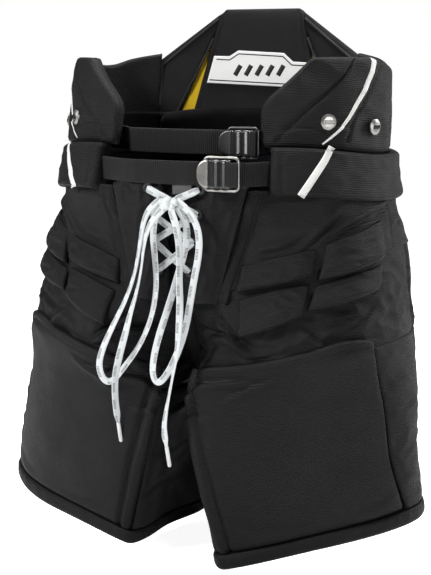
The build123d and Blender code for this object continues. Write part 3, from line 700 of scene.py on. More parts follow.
class Drape:
    """Lays small trims on the outer face of panels."""

    def __init__(self, panels):
        points, faces, start = [], [], 0
        for panel in panels:
            rows, columns = panel.u.shape
            index = np.arange(rows * columns).reshape(rows, columns) + start
            points.append(panel.face().reshape(-1, 3))
            faces += quads(index)
            start += rows * columns
        self.panel = panels[0]
        self.tree = BVHTree.FromPolygons(np.concatenate(points).tolist(), faces)

    def place(self, point, normal):
        """The point carried out to the panels' face along the normal."""
        hit = self.tree.ray_cast(Vector(point + normal * 60), Vector(-normal), 100)[0]
        return np.array(hit) if hit is not None else point + normal * self.panel.floor

    def line(self, route, step=2.0, beside=0.0, sharp=False):
        """Points, outward normals and forward directions along a (u, z) route."""
        samples = through(route, np.linspace(0, 1, 200), self.panel.u_unit, sharp)
        base, _ = self.panel.surface(samples[:, 0], samples[:, 1])
        run = lengths(base, 0)
        count = max(2, round(run[-1] / step))
        wanted = np.linspace(0, run[-1], count + 1)
        u, z = (np.interp(wanted, run, samples[:, i]) for i in (0, 1))
        base, normal = self.panel.surface(u, z)
        ahead = unit(np.gradient(base, axis=0))
        aside = unit(np.cross(normal, ahead))
        return base + aside * beside, normal, ahead, aside

    def strip(self, route, widths, proud=0.5, step=2.0, ribs_across=4, sharp=False):
        """A tape along a route; widths are its width at the start and the end."""
        base, normal, _, aside = self.line(route, step, sharp=sharp)
        share = np.linspace(0, 1, len(base))
        width = widths[0] + (widths[1] - widths[0]) * share
        rows, under, cloth, run = [], [], [], lengths(base, 0)
        for lateral in np.linspace(-0.5, 0.5, ribs_across + 1):
            row = base + aside * (width * lateral)[:, None]
            laid = np.array([self.place(p, n) for p, n in zip(row, normal)])
            drop = proud if abs(lateral) < 0.49 else proud * 0.35
            rows.append(laid + normal * drop)
            under.append(laid - normal * 0.4)
            cloth.append(np.stack([run, width * (lateral + 0.5), 0 * run + 5], -1))
        return slab(rows, under, cloth)

    def stitches(self, route, beside=0.0, length=2.6, pitch=4.0, sharp=False):
        """A row of stitches beside a route."""
        base, normal, ahead, aside = self.line(route, pitch, beside, sharp)
        shells = []
        for p, n, f, s in zip(base, normal, ahead, aside):
            top = self.place(p, n)
            shells.append(dash(top, n, f, s, length, 0.9, 0.45))
        return join_shells(shells)


def slab(top, under, cloth):
    """A closed sheet between two grids of points."""
    top, under, cloth = (np.asarray(grid, float) for grid in (top, under, cloth))
    rows, columns = top.shape[:2]
    index = np.arange(rows * columns).reshape(rows, columns)
    low = index + rows * columns
    faces = quads(index) + [f[::-1] for f in quads(low)]
    rims = [(index[0], low[0]), (index[-1][::-1], low[-1][::-1]), (index[:, -1], low[:, -1])]
    rims.append((index[::-1, 0], low[::-1, 0]))
    for upper, lower in rims:
        faces += [(upper[i + 1], upper[i], lower[i], lower[i + 1]) for i in range(len(upper) - 1)]
    points = np.concatenate([top.reshape(-1, 3), under.reshape(-1, 3)])
    cloth = cloth.reshape(-1, 3)
    return points, faces, np.concatenate([cloth, cloth])


def dash(centre, normal, ahead, aside, length, width, height):
    """One stitch: a short faceted bead."""
    section = ((-1, 0), (0, 1), (1, 0), (0, -0.6))
    ring = [centre + aside * width * 0.5 * a + normal * height * b for a, b in section]
    points = [centre - ahead * length / 2] + ring + [centre + ahead * length / 2]
    points = np.array(points)
    faces = []
    for i in range(4):
        faces.append((0, 1 + (i + 1) % 4, 1 + i))
        faces.append((5, 1 + i, 1 + (i + 1) % 4))
    return points, faces, np.zeros((6, 3))


# ---- where the panels meet -------------------------------------------------------------------
PANEL = 13.0
TO_PLATE = 9.7  # outer panels stop just short of the plastic plates behind them
HEM_FLAT_X = 57.0
HEM_RISE = 0.25
HEM_BAND = 20.4
HIP_LINE = (319.0, 0.27)  # height at the centre plane and slope of the hip's lower edge
THIGH_LINE = (207.0, 0.30)
GUARD_INNER = [(0.99, 20), (0.87, 112), (0.82, 185), (0.62, 236)]
GUARD_OUTER = [(3.62, 72), (3.51, 94), (3.36, 132), (3.14, 211), (2.95, 283)]
GUARD_TOP = [(0.62, 236), (1.0, 250), (1.47, 262), (1.87, 273), (2.33, 284), (2.73, 286), (2.95, 283)]
BACK_SEAM = 5.9
INNER_SEAM = 8.07
SEAT_SEAM = 5.15
FLY_INNER = [(0.61, 320), (0.91, 389), (1.22, 449)]
FLY_OUTER = [(0.93, 329), (1.11, 379), (1.41, 449)]
FLY_BAND = [(0.76, 324), (1.00, 384), (1.30, 449)]
SIDE_SEAM_UP = [(3.26, 330), (3.4, 346), (3.54, 380), (3.66, 406), (3.84, 447)]
SEAM = 0.006  # half the gap between neighbouring panels, in u


def hem_line(start, end, rise=0.0, count=25):
    """(u, z) points a height above the sloping hem."""
    u = np.linspace(start, end, count)
    z = np.zeros(count)
    for _ in range(12):
        z = np.maximum(0, HEM_RISE * (np.abs(body_form(u, z)[..., 0]) - HEM_FLAT_X)) + rise
    return list(zip(u, z))


def shifted(route, by):
    return [(u + by, z) for u, z in route]


def seed_of(side, seed):
    return seed + (0 if side == "left" else 50)


def inward(u, z):
    """The form seen from inside: heights grow towards the wearer."""
    points, normal = on_body(u, z)
    return points, -normal


# ---- thighs ----------------------------------------------------------------------------------
BEAD_HEIGHT = 3.2
GROOVE_DEPTH = 5.5
GUARD_TOP_STITCH = [(1.3, 247), (1.87, 264), (2.33, 275), (2.8, 277)]


def bolster(d, s):
    """The round bead down the guard's inner edge and the stitched groove beside it, the same all along s."""
    return BEAD_HEIGHT * hump(d + 7.5, 6.0, 4) - GROOVE_DEPTH * hump(d + 16, 2.6)


def thigh_guard(side):
    right = shifted(GUARD_OUTER, -SEAM)
    panel = Panel(hem_line(0.99, 3.61, HEM_BAND), shifted(GUARD_TOP, -SEAM), GUARD_INNER[1:-1], right[1:-1],
                  step=3.2)  # fmt: skip
    panel.lift(-1.5).crown(2.5, 30, "rt").crown(6.0, 80, "b").roll(7, "lr").roll(4, "t").roll(9, "b")
    panel.mark(GUARD_INNER, bolster, 8)
    panel.seam(GUARD_TOP_STITCH, 1.2, 1.5)
    panel.sag(2.2, 95, seed_of(side, 1)).sag(0.8, 38, seed_of(side, 2))
    panel.fold([(2.2, 262), (2.6, 268), (3.0, 258)], 1.3, 7)
    panel.fold([(0.8, 196), (1.0, 222), (1.35, 234), (1.6, 232)], 5.0, 5)
    panel.fold([(1.35, 208), (1.5, 226), (1.75, 246)], 3.6, 4.5)
    panel.fold([(0.86, 176), (1.0, 184), (1.2, 183)], 2.4, 5)
    panel.fold([(1.05, 60), (1.5, 44), (2.1, 52)], 1.2, 9)
    panel.fold([(2.6, 70), (3.0, 78), (3.4, 92)], 1.2, 8)
    shell, plate = panel.shell(TO_PLATE), f"guard_plate_{side}"
    sided("thigh_guard", side, [shell], GUARD, bend_hip, 0.9, [plate])
    drape = Drape([panel])
    rows = ((GUARD_INNER, -19.5), (GUARD_OUTER, 5.0), (GUARD_TOP_STITCH, 2.4))
    lines = [drape.stitches(route, beside, length=3.2, pitch=5.0) for route, beside in rows]
    sided("guard_stitches", side, lines, THREAD, bend_hip)


def thigh_side(side):
    left = shifted(GUARD_OUTER, SEAM)
    bottom = hem_line(3.63, BACK_SEAM, HEM_BAND)
    top = slope_line(2.95 + SEAM, BACK_SEAM, *THIGH_LINE)
    panel = Panel(bottom, top, left[1:-1], (), step=3.0)
    panel.crown(1.5, 25).roll(5).sag(1.8, 60, seed_of(side, 3))
    folds = [
        [(3.2, 262), (3.6, 268), (4.1, 255)],
        [(3.25, 224), (3.7, 230), (4.3, 214)],
        [(3.3, 197), (3.6, 192), (4.1, 200)],
        [(3.4, 166), (3.8, 171), (4.4, 158)],
        [(3.45, 139), (3.65, 134), (4.1, 144)],
        [(3.6, 108), (3.9, 114), (4.5, 104)],
    ]
    for k, route in enumerate(folds):
        panel.fold(route, 2.0 - 0.15 * k, 5.5)
    panel.crumple(2.0, 34, seed_of(side, 4), stretch=(1, 1, 1.5), fade=12)
    sided("thigh_side_panel", side, [panel.shell(PANEL)], BLACK, bend_hip, 0.5)


def thigh_back(side):
    bottom = hem_line(BACK_SEAM + SEAM, INNER_SEAM, HEM_BAND)
    top = slope_line(BACK_SEAM + SEAM, 7.95, *THIGH_LINE) + [(8.05, 208)]
    panel = Panel(bottom, top, step=3.2)
    panel.crown(1.8, 28).roll(5).sag(1.5, 65, seed_of(side, 5))
    panel.crumple(1.6, 42, seed_of(side, 6), stretch=(1, 1, 1.6), fade=14)
    sided("thigh_back_panel", side, [panel.shell(PANEL)], BLACK, bend_hip, 0.6)


def inner_leg(side):
    right = [(10.99 - SEAM, 20), (10.86, 112), (10.81, 185), (10.77, 203)]
    bottom = hem_line(INNER_SEAM + SEAM, 10.98, HEM_BAND)
    top = [(u, 203.0) for u in np.linspace(INNER_SEAM + SEAM, 10.77, 21)]
    panel = Panel(bottom, top, (), right[1:-1], step=3.2)
    panel.roll(4).sag(1.6, 50, seed_of(side, 7))
    panel.fold([(9.9, 168), (10.3, 176), (10.7, 170)], 1.8, 6)
    panel.fold([(9.8, 120), (10.3, 112), (10.75, 118)], 1.6, 6)
    panel.fold([(9.9, 62), (10.4, 68), (10.9, 60)], 1.6, 7)
    panel.crumple(1.8, 36, seed_of(side, 8), fade=10)
    sided("inner_leg_panel", side, [panel.shell(PANEL)], BLACK, bend_hip, 0.4)


def leg_lining(side):
    top = [(u, 201.0) for u in np.linspace(0, RING, 41)]
    panel = Panel(hem_line(0, RING, 6, 41), top, step=3.5, surface=inward, ring=True)
    panel.lift(PANEL + 4).roll(2, "bt").sag(1.4, 45, seed_of(side, 9))
    panel.crumple(1.2, 40, seed_of(side, 10), fade=15)
    sided("leg_lining", side, [panel.shell(4)], LINING, bend_hip, 0.2)


def hem_band(side):
    panel = Panel(hem_line(0, RING, 0.0, 41), hem_line(0, RING, HEM_BAND - 0.6, 41), step=2.2, ring=True)
    panel.lift(1.5).roll(8, "b").roll(5, "t")
    gathers = np.sin(panel.along / 3.1 + 2.2 * np.sin(panel.along / 17))
    band = hump(panel.up - 13, 5.0)
    panel.height += 0.45 * gathers * band * (0.4 + 0.6 * np.sin(panel.along / 61) ** 2)
    panel.seam(hem_line(0.001, RING - 0.001, 15.2, 41), 0.9, 1.2)
    panel.sag(1.0, 30, seed_of(side, 11))
    sided("hem_band", side, [panel.shell(PANEL + 5)], TRIM, bend_hip, 0.5)


# ---- groin, quilts and hips ------------------------------------------------------------------
def groin_panel(side):
    bottom = [(0.13, 220), (0.45, 207), (0.85, 212), (1.3, 236), (1.87, 260), (2.33, 271), (2.9, 273)]
    bottom += slope_line(3.4, 7.87, THIGH_LINE[0] - 2, THIGH_LINE[1], 15)
    top = slope_line(0.13, 7.87, HIP_LINE[0] + 2, HIP_LINE[1], 31)
    panel = Panel(bottom, top, step=2.6)
    panel.lift(-2.4).roll(4, "lr").sag(1.6, 40, seed_of(side, 12))
    panel.fold([(0.25, 282), (0.6, 281), (0.9, 283), (1.25, 274)], 7.0, 5, sharpness=1.2)
    panel.fold([(0.62, 302), (0.9, 288), (1.36, 266)], 7.0, 4.5, sharpness=1.3)
    panel.fold([(1.15, 262), (1.4, 257), (1.7, 268)], 3.4, 4)
    panel.fold([(1.38, 238), (1.5, 256), (1.75, 268)], 2.6, 4)
    panel.fold([(0.2, 252), (0.5, 244), (0.8, 250)], 3.6, 5)
    panel.fold([(1.75, 300), (2.0, 286), (2.2, 278)], 4.5, 5)
    panel.fold([(1.7, 290), (2.2, 296), (2.7, 308)], 2.6, 6)
    panel.fold([(2.3, 286), (2.7, 296), (3.1, 318)], 2.4, 6)
    calmer_behind = 1 - 0.75 * smooth(panel.u - 3.2)
    panel.crumple(2.6, 28, seed_of(side, 13), stretch=(1, 1, 1.9), where=calmer_behind, fade=8)
    for u in (4.6, 5.6, 6.6):
        level = 304 - 9 * u
        panel.fold([(u - 0.5, level), (u, level + 8), (u + 0.6, level - 4)], 2.6, 8)
    sided("groin_panel", side, [panel.shell(TO_PLATE)], BLACK, bend_hip, 0.4)


BLOCKS = {
    "quilt_upper": [
        [(0.99, 336), (1.93, 357), (2.05, 388), (1.04, 366)],
        [(2.01, 351), (3.24, 373), (3.42, 414), (2.18, 392)],
    ],
    "quilt_lower": [
        [(1.07, 288), (1.80, 314), (1.90, 348), (1.02, 329)],
        [(1.87, 319), (3.04, 338), (3.20, 366), (1.98, 346)],
    ],
}


def tuck_under_belt(panel):
    """Draws the upper outer part of a panel in, towards the belt."""
    panel.height -= 6 * smooth((panel.z - 355) / 70) * smooth((panel.u - 2.0) / 1.1)


def halfway(a, b, rise):
    return (a[0] + b[0]) / 2, (a[1] + b[1]) / 2 + rise


def quilts(side, row):
    """Two padded blocks: the lower edge stands out over the one below, the upper edge is nearly flush."""
    shells, threads = [], []
    for k, (bl, br, tr, tl) in enumerate(BLOCKS[row]):
        panel = Panel([bl, halfway(bl, br, -1.5), br], [tl, halfway(tl, tr, 1.5), tr], step=1.8)
        share = panel.up / np.maximum(panel.up[-1:], 1)
        panel.height += 9.5 - 5.5 * share**1.3
        panel.height -= 4.5 * (np.exp(-panel.gap["l"] / 9) + np.exp(-panel.gap["r"] / 9))
        panel.roll(6, "b").roll(3, "lr").roll(3, "t")
        panel.crown(1.8, 12).sag(1.6, 28, seed_of(side, 20 + k))
        panel.crumple(1.6, 20, seed_of(side, 24 + k), stretch=(1, 1, 2), fade=6)
        tuck_under_belt(panel)
        panel.back = -2.5
        shells.append(panel.shell(8))
        for a, b, rise in ((bl, br, 3.4), (tl, tr, -3.4)):
            line = [(a[0] + 0.05, a[1] + rise), halfway(a, b, rise * 0.6), (b[0] - 0.05, b[1] + rise)]
            threads.append(Drape([panel]).stitches(line, length=2.2, pitch=3.4))
    sided(row, side, shells, QUILTED, bend_hip, 0.8)
    sided(f"{row}_stitches", side, threads, THREAD, bend_hip)


def hip_panel(side):
    top = [(u, 452.0) for u in np.linspace(1.22, SEAT_SEAM - SEAM, 15)]
    bottom = slope_line(0.61, SEAT_SEAM - SEAM, *HIP_LINE)
    panel = Panel(bottom, top, FLY_INNER[1:-1], (), step=2.8)
    panel.roll(3, "lb").sag(1.6, 60, seed_of(side, 30))
    tuck_under_belt(panel)
    panel.seam(FLY_OUTER, 2.6, 1.7).seam(SIDE_SEAM_UP, 2.2, 1.7)
    panel.mark(FLY_INNER, lambda d, s: 1.3 * hump(d + 6.5, 6.5, 4), 6)
    panel.fold([(2.5, 430), (2.11, 409), (1.78, 386)], 3.2, 4.2, sharpness=1.2)
    panel.fold([(1.9, 407), (1.55, 391), (1.22, 384)], 2.4, 5.5)
    panel.fold([(3.9, 438), (3.4, 429), (2.92, 421), (2.45, 410), (2.1, 396)], 4.2, 6.0, sharpness=1.3)
    panel.fold([(1.35, 430), (1.6, 438), (2.1, 436)], 1.6, 5)
    panel.fold([(4.3, 400), (3.95, 412), (3.7, 408)], 2.4, 5)
    panel.fold([(4.7, 372), (4.1, 384), (3.6, 374)], 2.2, 6)
    panel.fold([(4.9, 420), (4.5, 436), (4.0, 441)], 2.2, 6)
    panel.crumple(1.8, 40, seed_of(side, 31), stretch=(1, 1, 1.8), fade=12)
    sided("hip_panel", side, [panel.shell(TO_PLATE)], BLACK, ride_waist, 0.6, ["hip_plates"])
    drape = Drape([panel])
    band = drape.strip(FLY_BAND, (13.0, 15.0), proud=1.1, ribs_across=6)
    sided("fly_band", side, [band], TRIM, ride_waist)
    rows = [drape.stitches(FLY_OUTER, beside=gap, length=2.4, pitch=3.6) for gap in (2.6, -3.0)]
    sided("fly_band_stitches", side, rows, THREAD, ride_waist)


def seat_panel():
    end = 16 - SEAT_SEAM
    bottom = slope_line(SEAT_SEAM, end, *HIP_LINE, count=31)
    panel = Panel(bottom, [(u, 498.0) for u in np.linspace(SEAT_SEAM, end, 21)], step=3.2)
    panel.roll(4, "b").roll(3, "lrt").sag(2.0, 70, 40)
    panel.seam([(8.0, 325), (8.0, 440), (8.0, 495)], 1.8, 2.0)
    panel.crumple(1.4, 45, 41, stretch=(1, 1, 1.7), fade=12)
    riding("seat_panel", [panel.shell(PANEL)], BLACK, ["seat_panel"])


def hip_lining():
    low, high = 0.92, 16 - 0.92
    bottom = slope_line(low, high, 324, 0.27, 41)
    top = [(low, 447), (1.60, 447), (1.72, 498)] + [(u, 498.0) for u in np.linspace(2.0, 14.0, 25)]
    top += [(14.28, 498), (14.4, 447), (high, 447)]
    panel = Panel(bottom, top, step=4.0, surface=inward, sharp=True)
    panel.lift(PANEL + 4).sag(1.2, 50, 42).crumple(1.0, 45, 43, fade=15)
    riding("hip_lining", [panel.shell(4)], LINING, ["hip_lining"])


def crotch_gusset():
    """A padded strap down the front seam, under the crotch and up the back seam."""
    route = [(-124, 332), (-98, 284), (-50, 226), (8, 217), (62, 223), (110, 262), (132, 308)]
    samples = through(route, np.linspace(0, 1, 90), 1)
    line = np.column_stack([np.zeros(90), samples])
    run = lengths(line, 0)
    ahead = unit(np.gradient(line, axis=0))
    out = unit(np.cross(ahead, [1, 0, 0]))
    out *= np.sign(out[0] @ [0, -1, 0])
    lateral = np.array([-12, -11.2, -9.5, -6, 0, 6, 9.5, 11.2, 12.0])
    top, under, cloth = [], [], []
    for x in lateral:
        full = 3.4 * (1 - (abs(x) / 12) ** 5)
        ripple = 0.35 * np.sin(run / 5.3)[:, None] * out
        top.append(line + [x, 0, 0] + out * full + ripple)
        under.append(line + [x, 0, 0] - out * full)
        cloth.append(np.stack([np.full(90, x + 12), run, np.full(90, 12 - abs(x))], -1))
    riding("crotch_gusset", [slab(top, under, cloth)], TRIM, ["crotch_gusset"])


# ---- belt sleeves and wings ------------------------------------------------------------------
SLEEVE_Z = (446.0, 499.5)
SLEEVE = 10.0
SLEEVE_DIP = 11.0
SLEEVE_FRONT_X = 114.0
SLEEVE_BACK_X = 72.0
WING = 16.0
WING_SEAM = [(1.55, 506), (1.88, 534), (2.36, 563), (2.64, 581), (2.85, 597)]
WING_SEAM_BACK = [(2.72, 506), (2.82, 527), (3.03, 546), (3.27, 568), (3.52, 594)]
SWOOSH = [(2.26, 503), (2.54, 518), (2.71, 531), (2.87, 546), (3.07, 563), (3.24, 583), (3.32, 598)]
SLEEVE_STRIPE = [(1.90, 446), (1.95, 451), (2.12, 468), (2.28, 485), (2.38, 499)]


def dipped(places, height, end):
    """A line at a height that dips at the wearer's side, like the belt."""
    places = np.asarray(places)
    dip = SLEEVE_DIP * smooth((places - 1.6) / 2.4) * smooth((end + 1.0 - places) / 3)
    return list(zip(places, height - dip))


def belt_sleeve(side):
    low, high = SLEEVE_Z
    start, end = u_at(SLEEVE_FRONT_X, 470) - 0.07, u_at(SLEEVE_BACK_X, 470, back=True)
    span = np.linspace(start, end, 25)

    panel = Panel(dipped(span, low, end), dipped(span, high, end), step=2.4)
    panel.lift(SLEEVE).roll(6.5).sag(1.0, 40, seed_of(side, 50)).narrow(5, 2.0, 5.6)
    seams = [dipped(span, z, end) for z in (low + 7, high - 7)]
    for line in seams:
        panel.seam(line, 0.9, 1.3)
    panel.seam([(start + 0.16, low + 1), (start + 0.16, high - 1)], 2.4, 1.6)
    panel.seam([(5.0, low - 6), (5.0, high - 8)], 1.5, 1.6)
    panel.fold([(2.9, 456), (3.3, 466), (3.7, 461)], 1.2, 5)
    panel.crumple(0.9, 26, seed_of(side, 51), stretch=(1, 1, 1.6), fade=8)
    sided("belt_sleeve", side, [panel.shell(SLEEVE + PANEL - 1)], BLACK, ride_waist, 0.7)
    drape = Drape([panel])
    stripe = drape.strip(SLEEVE_STRIPE, (9.0, 8.0))
    sided("sleeve_stripe", side, [stripe], WHITE_TAPE, ride_waist)
    rows = [drape.stitches(line, beside=2.0, length=2.2, pitch=3.8) for line in seams]
    sided("sleeve_stitches", side, rows, THREAD, ride_waist)


def kidney_wing(side):
    end = u_at(144, 550, back=True)
    bottom = [(1.37, 500)] + dipped(np.linspace(1.6, end, 17), 500, end)
    top = [(2.04, 600.5), (2.6, 601), (3.35, 600), (4.0, 592), (4.6, 591), (5.2, 598), (end, 605)]
    panel = Panel(bottom, top, [(1.33, 525), (1.36, 549), (1.7, 576)], (), step=2.6)
    panel.crown(2.0, 18).roll(7).sag(1.6, 45, seed_of(side, 60)).narrow(6, 3.6, 6.2)
    panel.seam(WING_SEAM, 3.0, 2.0).seam(WING_SEAM_BACK, 2.4, 1.9)
    panel.fold([(1.5, 512), (1.9, 518), (2.35, 512)], 2.4, 4)
    panel.fold([(2.3, 508), (2.5, 520), (2.8, 516)], 1.6, 4)
    panel.crumple(1.8, 34, seed_of(side, 61), fade=10)
    sided("kidney_wing", side, [panel.shell(WING, 5)], BLACK, bend_wing, 0.8)
    drape = Drape([panel])
    stripe = drape.strip(SWOOSH, (2.0, 8.5), proud=0.6)
    sided("wing_swoosh", side, [stripe], WHITE_TAPE, bend_wing)
    rows = [drape.stitches(WING_SEAM, beside=2.6, length=2.2, pitch=3.8)]
    sided("wing_stitches", side, rows, THREAD, bend_wing)


def waistband():
    start = u_at(150, 500)
    span = np.linspace(start, 16 - start, 41)
    band = Panel([(u, 476.0) for u in span], [(u, 529.0) for u in span], step=3.5, surface=inward)
    band.lift(24.0).roll(3)
    edge = u_at(145, 510, back=True)
    across = np.linspace(edge, 16 - edge, 25)
    crest = [(u, 527 + 14 * (1 - ((u - 8) / (8 - edge)) ** 2)) for u in across]
    roll = Panel([(u, 490.0) for u in across], crest, step=3.0, surface=inward)
    roll.lift(44.0).roll(12).sag(1.6, 35, 62)
    roll.back = 20.0
    riding("waistband", [band.shell(6.5), roll.shell(20)], VELVET, ["waistband"])


# ---- spine guard -----------------------------------------------------------------------------
SPINE_FOOT = (109.0, 534.0)
SPINE_LEAN = math.radians(9.2)


def on_spine(x, h):
    """The front plane of the spine guard: x across and h up its slope."""
    x, h = np.broadcast_arrays(np.asarray(x, float), np.asarray(h, float))
    y, z = SPINE_FOOT[0] + h * math.sin(SPINE_LEAN), SPINE_FOOT[1] + h * math.cos(SPINE_LEAN)
    points = np.stack([x, y, z], -1)
    return points, np.zeros(points.shape) + [0, -math.cos(SPINE_LEAN), math.sin(SPINE_LEAN)]


def spine_patch(bottom, top, right=(), step=2.6):
    return Panel(bottom, top, (), right, step=step, surface=on_spine, u_unit=1, sharp=True)


def spine():
    centre = spine_patch([(-92, -14), (92, -14)], [(-60, 122), (-51, 130.7), (51, 130.7), (60, 122)])
    centre.crown(2.2, 9).roll(5).sag(0.8, 50, 70)
    for flip in (1, -1):
        centre.seam([(flip * 81, -12), (flip * 52, 126)], 2.2, 1.8)
    shell = centre.shell(22, 6)
    riding("spine_panel", [shell], SPINE_CLOTH, ["spine_panel"], body="spine")
    sides, gussets, pipings = [], [], []
    for flip in (1, -1):
        side = spine_patch([(112, -14), (147, -14)], [(62.5, 104), (58, 125)], [(147, 61)])
        side.crown(1.6, 8).roll(4).sag(0.9, 30, 71 + flip)
        sides.append(flipped(side.shell(18, 5), flip))
        drape = Drape([side])
        for edge in ([(138, 2), (138, 56), (97, 88), (60, 117)], [(113, -8), (88, 44), (66, 92)]):
            pipings.append(flipped(drape.strip(edge, (3.4, 3.4), proud=1.3, ribs_across=4, sharp=True), flip))
        gusset = spine_patch([(84, -14), (114, -14)], [(62.6, 98), (64.4, 98)])
        gusset.lift(-4).sag(0.8, 20, 75 + flip)
        gussets.append(flipped(gusset.shell(6), flip))
    riding("spine_sides", sides, SPINE_CLOTH, ["spine_sides"], body="spine")
    riding("stretch_gussets", gussets, YELLOW, ["stretch_gussets"], body="spine")
    riding("spine_piping", pipings, PIPING, body="spine")
    spine_badge()


def flipped(shell, flip):
    points, faces, cloth = shell
    return (points, faces, cloth) if flip > 0 else (points * [-1, 1, 1], [f[::-1] for f in faces], cloth)


def spine_badge():
    """A plain badge: a white shield with a thin dark border and slanted bars."""
    top = [(-62, 68.5), (-40, 68), (-28, 75.5), (36, 72), (49, 61), (75, 59.5)]
    badge = spine_patch([(-70, 33), (74, 27)], top, step=2.2)
    badge.lift(3.8).roll(0.8)
    riding("spine_badge", [badge.shell(2.8)], BADGE_WHITE, ["spine_badge"], body="spine")
    drape = Drape([badge])
    upper = [(-58, 64.0), (-39, 63.0), (-27, 71.0), (35, 67.5), (48, 56.5), (71, 55.5)]
    lower = [(-66, 37.0), (70, 31.0)]
    marks = [drape.strip(line, (1.5, 1.5), proud=0.25, ribs_across=2, sharp=True) for line in (upper, lower)]
    for x in (-30, -15, 0, 15, 30):
        slant = [(x, 43), (x + 7, 56)]
        marks.append(drape.strip(slant, (6.5, 6.5), proud=0.25, ribs_across=2, sharp=True))
    riding("badge_marks", marks, THREAD, body="spine")


# ---- straps and buckles ----------------------------------------------------------------------
STRAPS = {
    "outer_strap_left": [(112, -103), (90, -136), (73.5, -138.5), (73.5, -147.5), (86, -147.5)],
    "outer_strap_right": [(-112, -103), (-72, -128), (-48, -137), (0, -139.5), (34, -138.5), (64, -137.5)],
}
INNER_STRAPS = [
    [(138, -30), (106, -58), (89.5, -75), (89, -90), (86, -96.5), (82.5, -97), (82.5, -107), (90, -107)],
    [(-138, -30), (-98, -60), (-82, -84), (-20, -97), (50, -96.5), (72, -96.5)],
]
OUTER_STRAP_Z = (457.5, 484.5)
INNER_STRAP_Z = (489.5, 518.0)
STRAP_THICK = 2.2


def webbing(route, low, high, wave=0.0):
    """A flat strap standing on its edge along a plan route, with slightly rounded corners."""
    dense = through(route, np.linspace(0, 1, 400), 1, sharp=True)
    run = lengths(dense, 0)
    stops = np.linspace(0, run[-1], max(20, round(run[-1] / 1.6)))
    soft = np.stack([np.interp(stops, run, blurred(dense[:, i], 9)) for i in (0, 1)], -1)
    ahead = unit(np.gradient(soft, axis=0))
    aside = np.stack([ahead[:, 1], -ahead[:, 0]], -1)
    top, under, cloth = [], [], []
    for share in (0, 0.03, 0.1, 0.5, 0.9, 0.97, 1):
        z = low + (high - low) * share
        half = STRAP_THICK / 2 * (0.45 if share in (0, 1) else 1)
        lean = wave * (share - 0.5) * np.sin(stops / run[-1] * 5)[:, None]
        for rows, offset in ((top, half), (under, -half)):
            rows.append(np.column_stack([soft + aside * (offset + lean), np.full(len(soft), z)]))
        edge = (high - low) * min(share, 1 - share)
        cloth.append(np.stack([stops, np.full(len(stops), z - low), np.full(len(stops), edge)], -1))
    return slab(top, under, cloth)


def blurred(values, width):
    padded = np.concatenate([np.full(width, values[0]), values, np.full(width, values[-1])])
    return np.convolve(padded, np.ones(2 * width + 1) / (2 * width + 1), mode="valid")


def straps():
    for name, route in STRAPS.items():
        riding(name, [webbing(route, *OUTER_STRAP_Z, wave=1.2)], WEBBING, [name])
    shells = [webbing(route, *INNER_STRAP_Z, wave=1.5) for route in INNER_STRAPS]
    riding("inner_straps", shells, WEBBING, ["inner_straps"])


def rounded_frame(name, x, y, z, rim, material, node, body):
    """A thin wire-like frame with rounded corners, standing in the plane y."""
    corner_r = 5.0
    path = []
    for cx, cz, start in ((x[1], z[1], 0), (x[0], z[1], 90), (x[0], z[0], 180), (x[1], z[0], 270)):
        mx = cx - corner_r if cx == x[1] else cx + corner_r
        mz = cz - corner_r if cz == z[1] else cz + corner_r
        for turn in np.radians(np.linspace(start, start + 90, 7)):
            path.append((mx + corner_r * math.cos(turn), y, mz + corner_r * math.sin(turn)))
    path = np.array(path)
    ahead = unit(np.roll(path, -1, axis=0) - np.roll(path, 1, axis=0))
    aside = np.cross(ahead, [0, 1.0, 0])
    around = np.linspace(0, 2 * math.pi, 13)[:-1]
    depth = np.array([0, rim * 1.1, 0])
    points = np.array([path + aside * rim * math.cos(a) + depth * math.sin(a) for a in around])
    index = np.arange(points.shape[0] * points.shape[1]).reshape(points.shape[:2])
    index = np.vstack([index, index[:1]])
    index = np.hstack([index, index[:, :1]])
    piece = mesh_object(name, points.reshape(-1, 3), quads(index))
    dress(piece, material, [node])
    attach(piece, body)


def lever(name, x, y, z, tab, metal_look, strap, node, body):
    """The strap's black ridged turn round a buckle's bar, and the cam lever's thumb tab beside it."""
    low, high = z
    across = np.linspace(0, 1, 61)
    ridges = 1.7 * np.cos(across * 6 * math.pi) * np.sin(across * math.pi)
    front = y - 4.6 * np.sin(across * math.pi) ** 0.35 - ridges
    back = y + 2.2 * np.sin(across * math.pi) ** 0.5
    line = x[0] + (x[1] - x[0]) * across
    rows, under, cloth = [], [], []
    for share in (0, 0.03, 0.1, 0.5, 0.9, 0.97, 1):
        soft = 0.75 if share in (0, 1) else 1.0
        height = np.full(61, low + (high - low) * share)
        rows.append(np.column_stack([line, y + (front - y) * soft, height]))
        under.append(np.column_stack([line, y + (back - y) * soft, height]))
        cloth.append(np.stack([line, height, np.full(61, 5.0)], -1))
    riding(f"{name}_strap_turn", [slab(rows, under, cloth)], BUCKLE_BLACK, [strap])
    middle, half = (low + high) / 2, (high - low) / 2
    reach = np.linspace(0, 1, 17)
    spread = half * np.sqrt(np.clip(1 - (reach * 0.97) ** 2.2, 0, 1))
    lateral = np.linspace(-1, 1, 13)
    grid_x = np.repeat((x[0] + 2 - (tab + 2) * reach)[None, :], 13, axis=0)
    grid_z = middle + lateral[:, None] * spread[None, :]
    curl = y - 2.4 - 2.0 * reach**2
    top = np.stack([grid_x, np.repeat((curl - 0.8)[None, :], 13, axis=0), grid_z], -1)
    low_side = np.stack([grid_x, np.repeat((curl + 0.8)[None, :], 13, axis=0), grid_z], -1)
    shell = slab(top, low_side, np.zeros(top.shape))
    riding(f"{name}_tab", [shell], metal_look, [node], body=body)


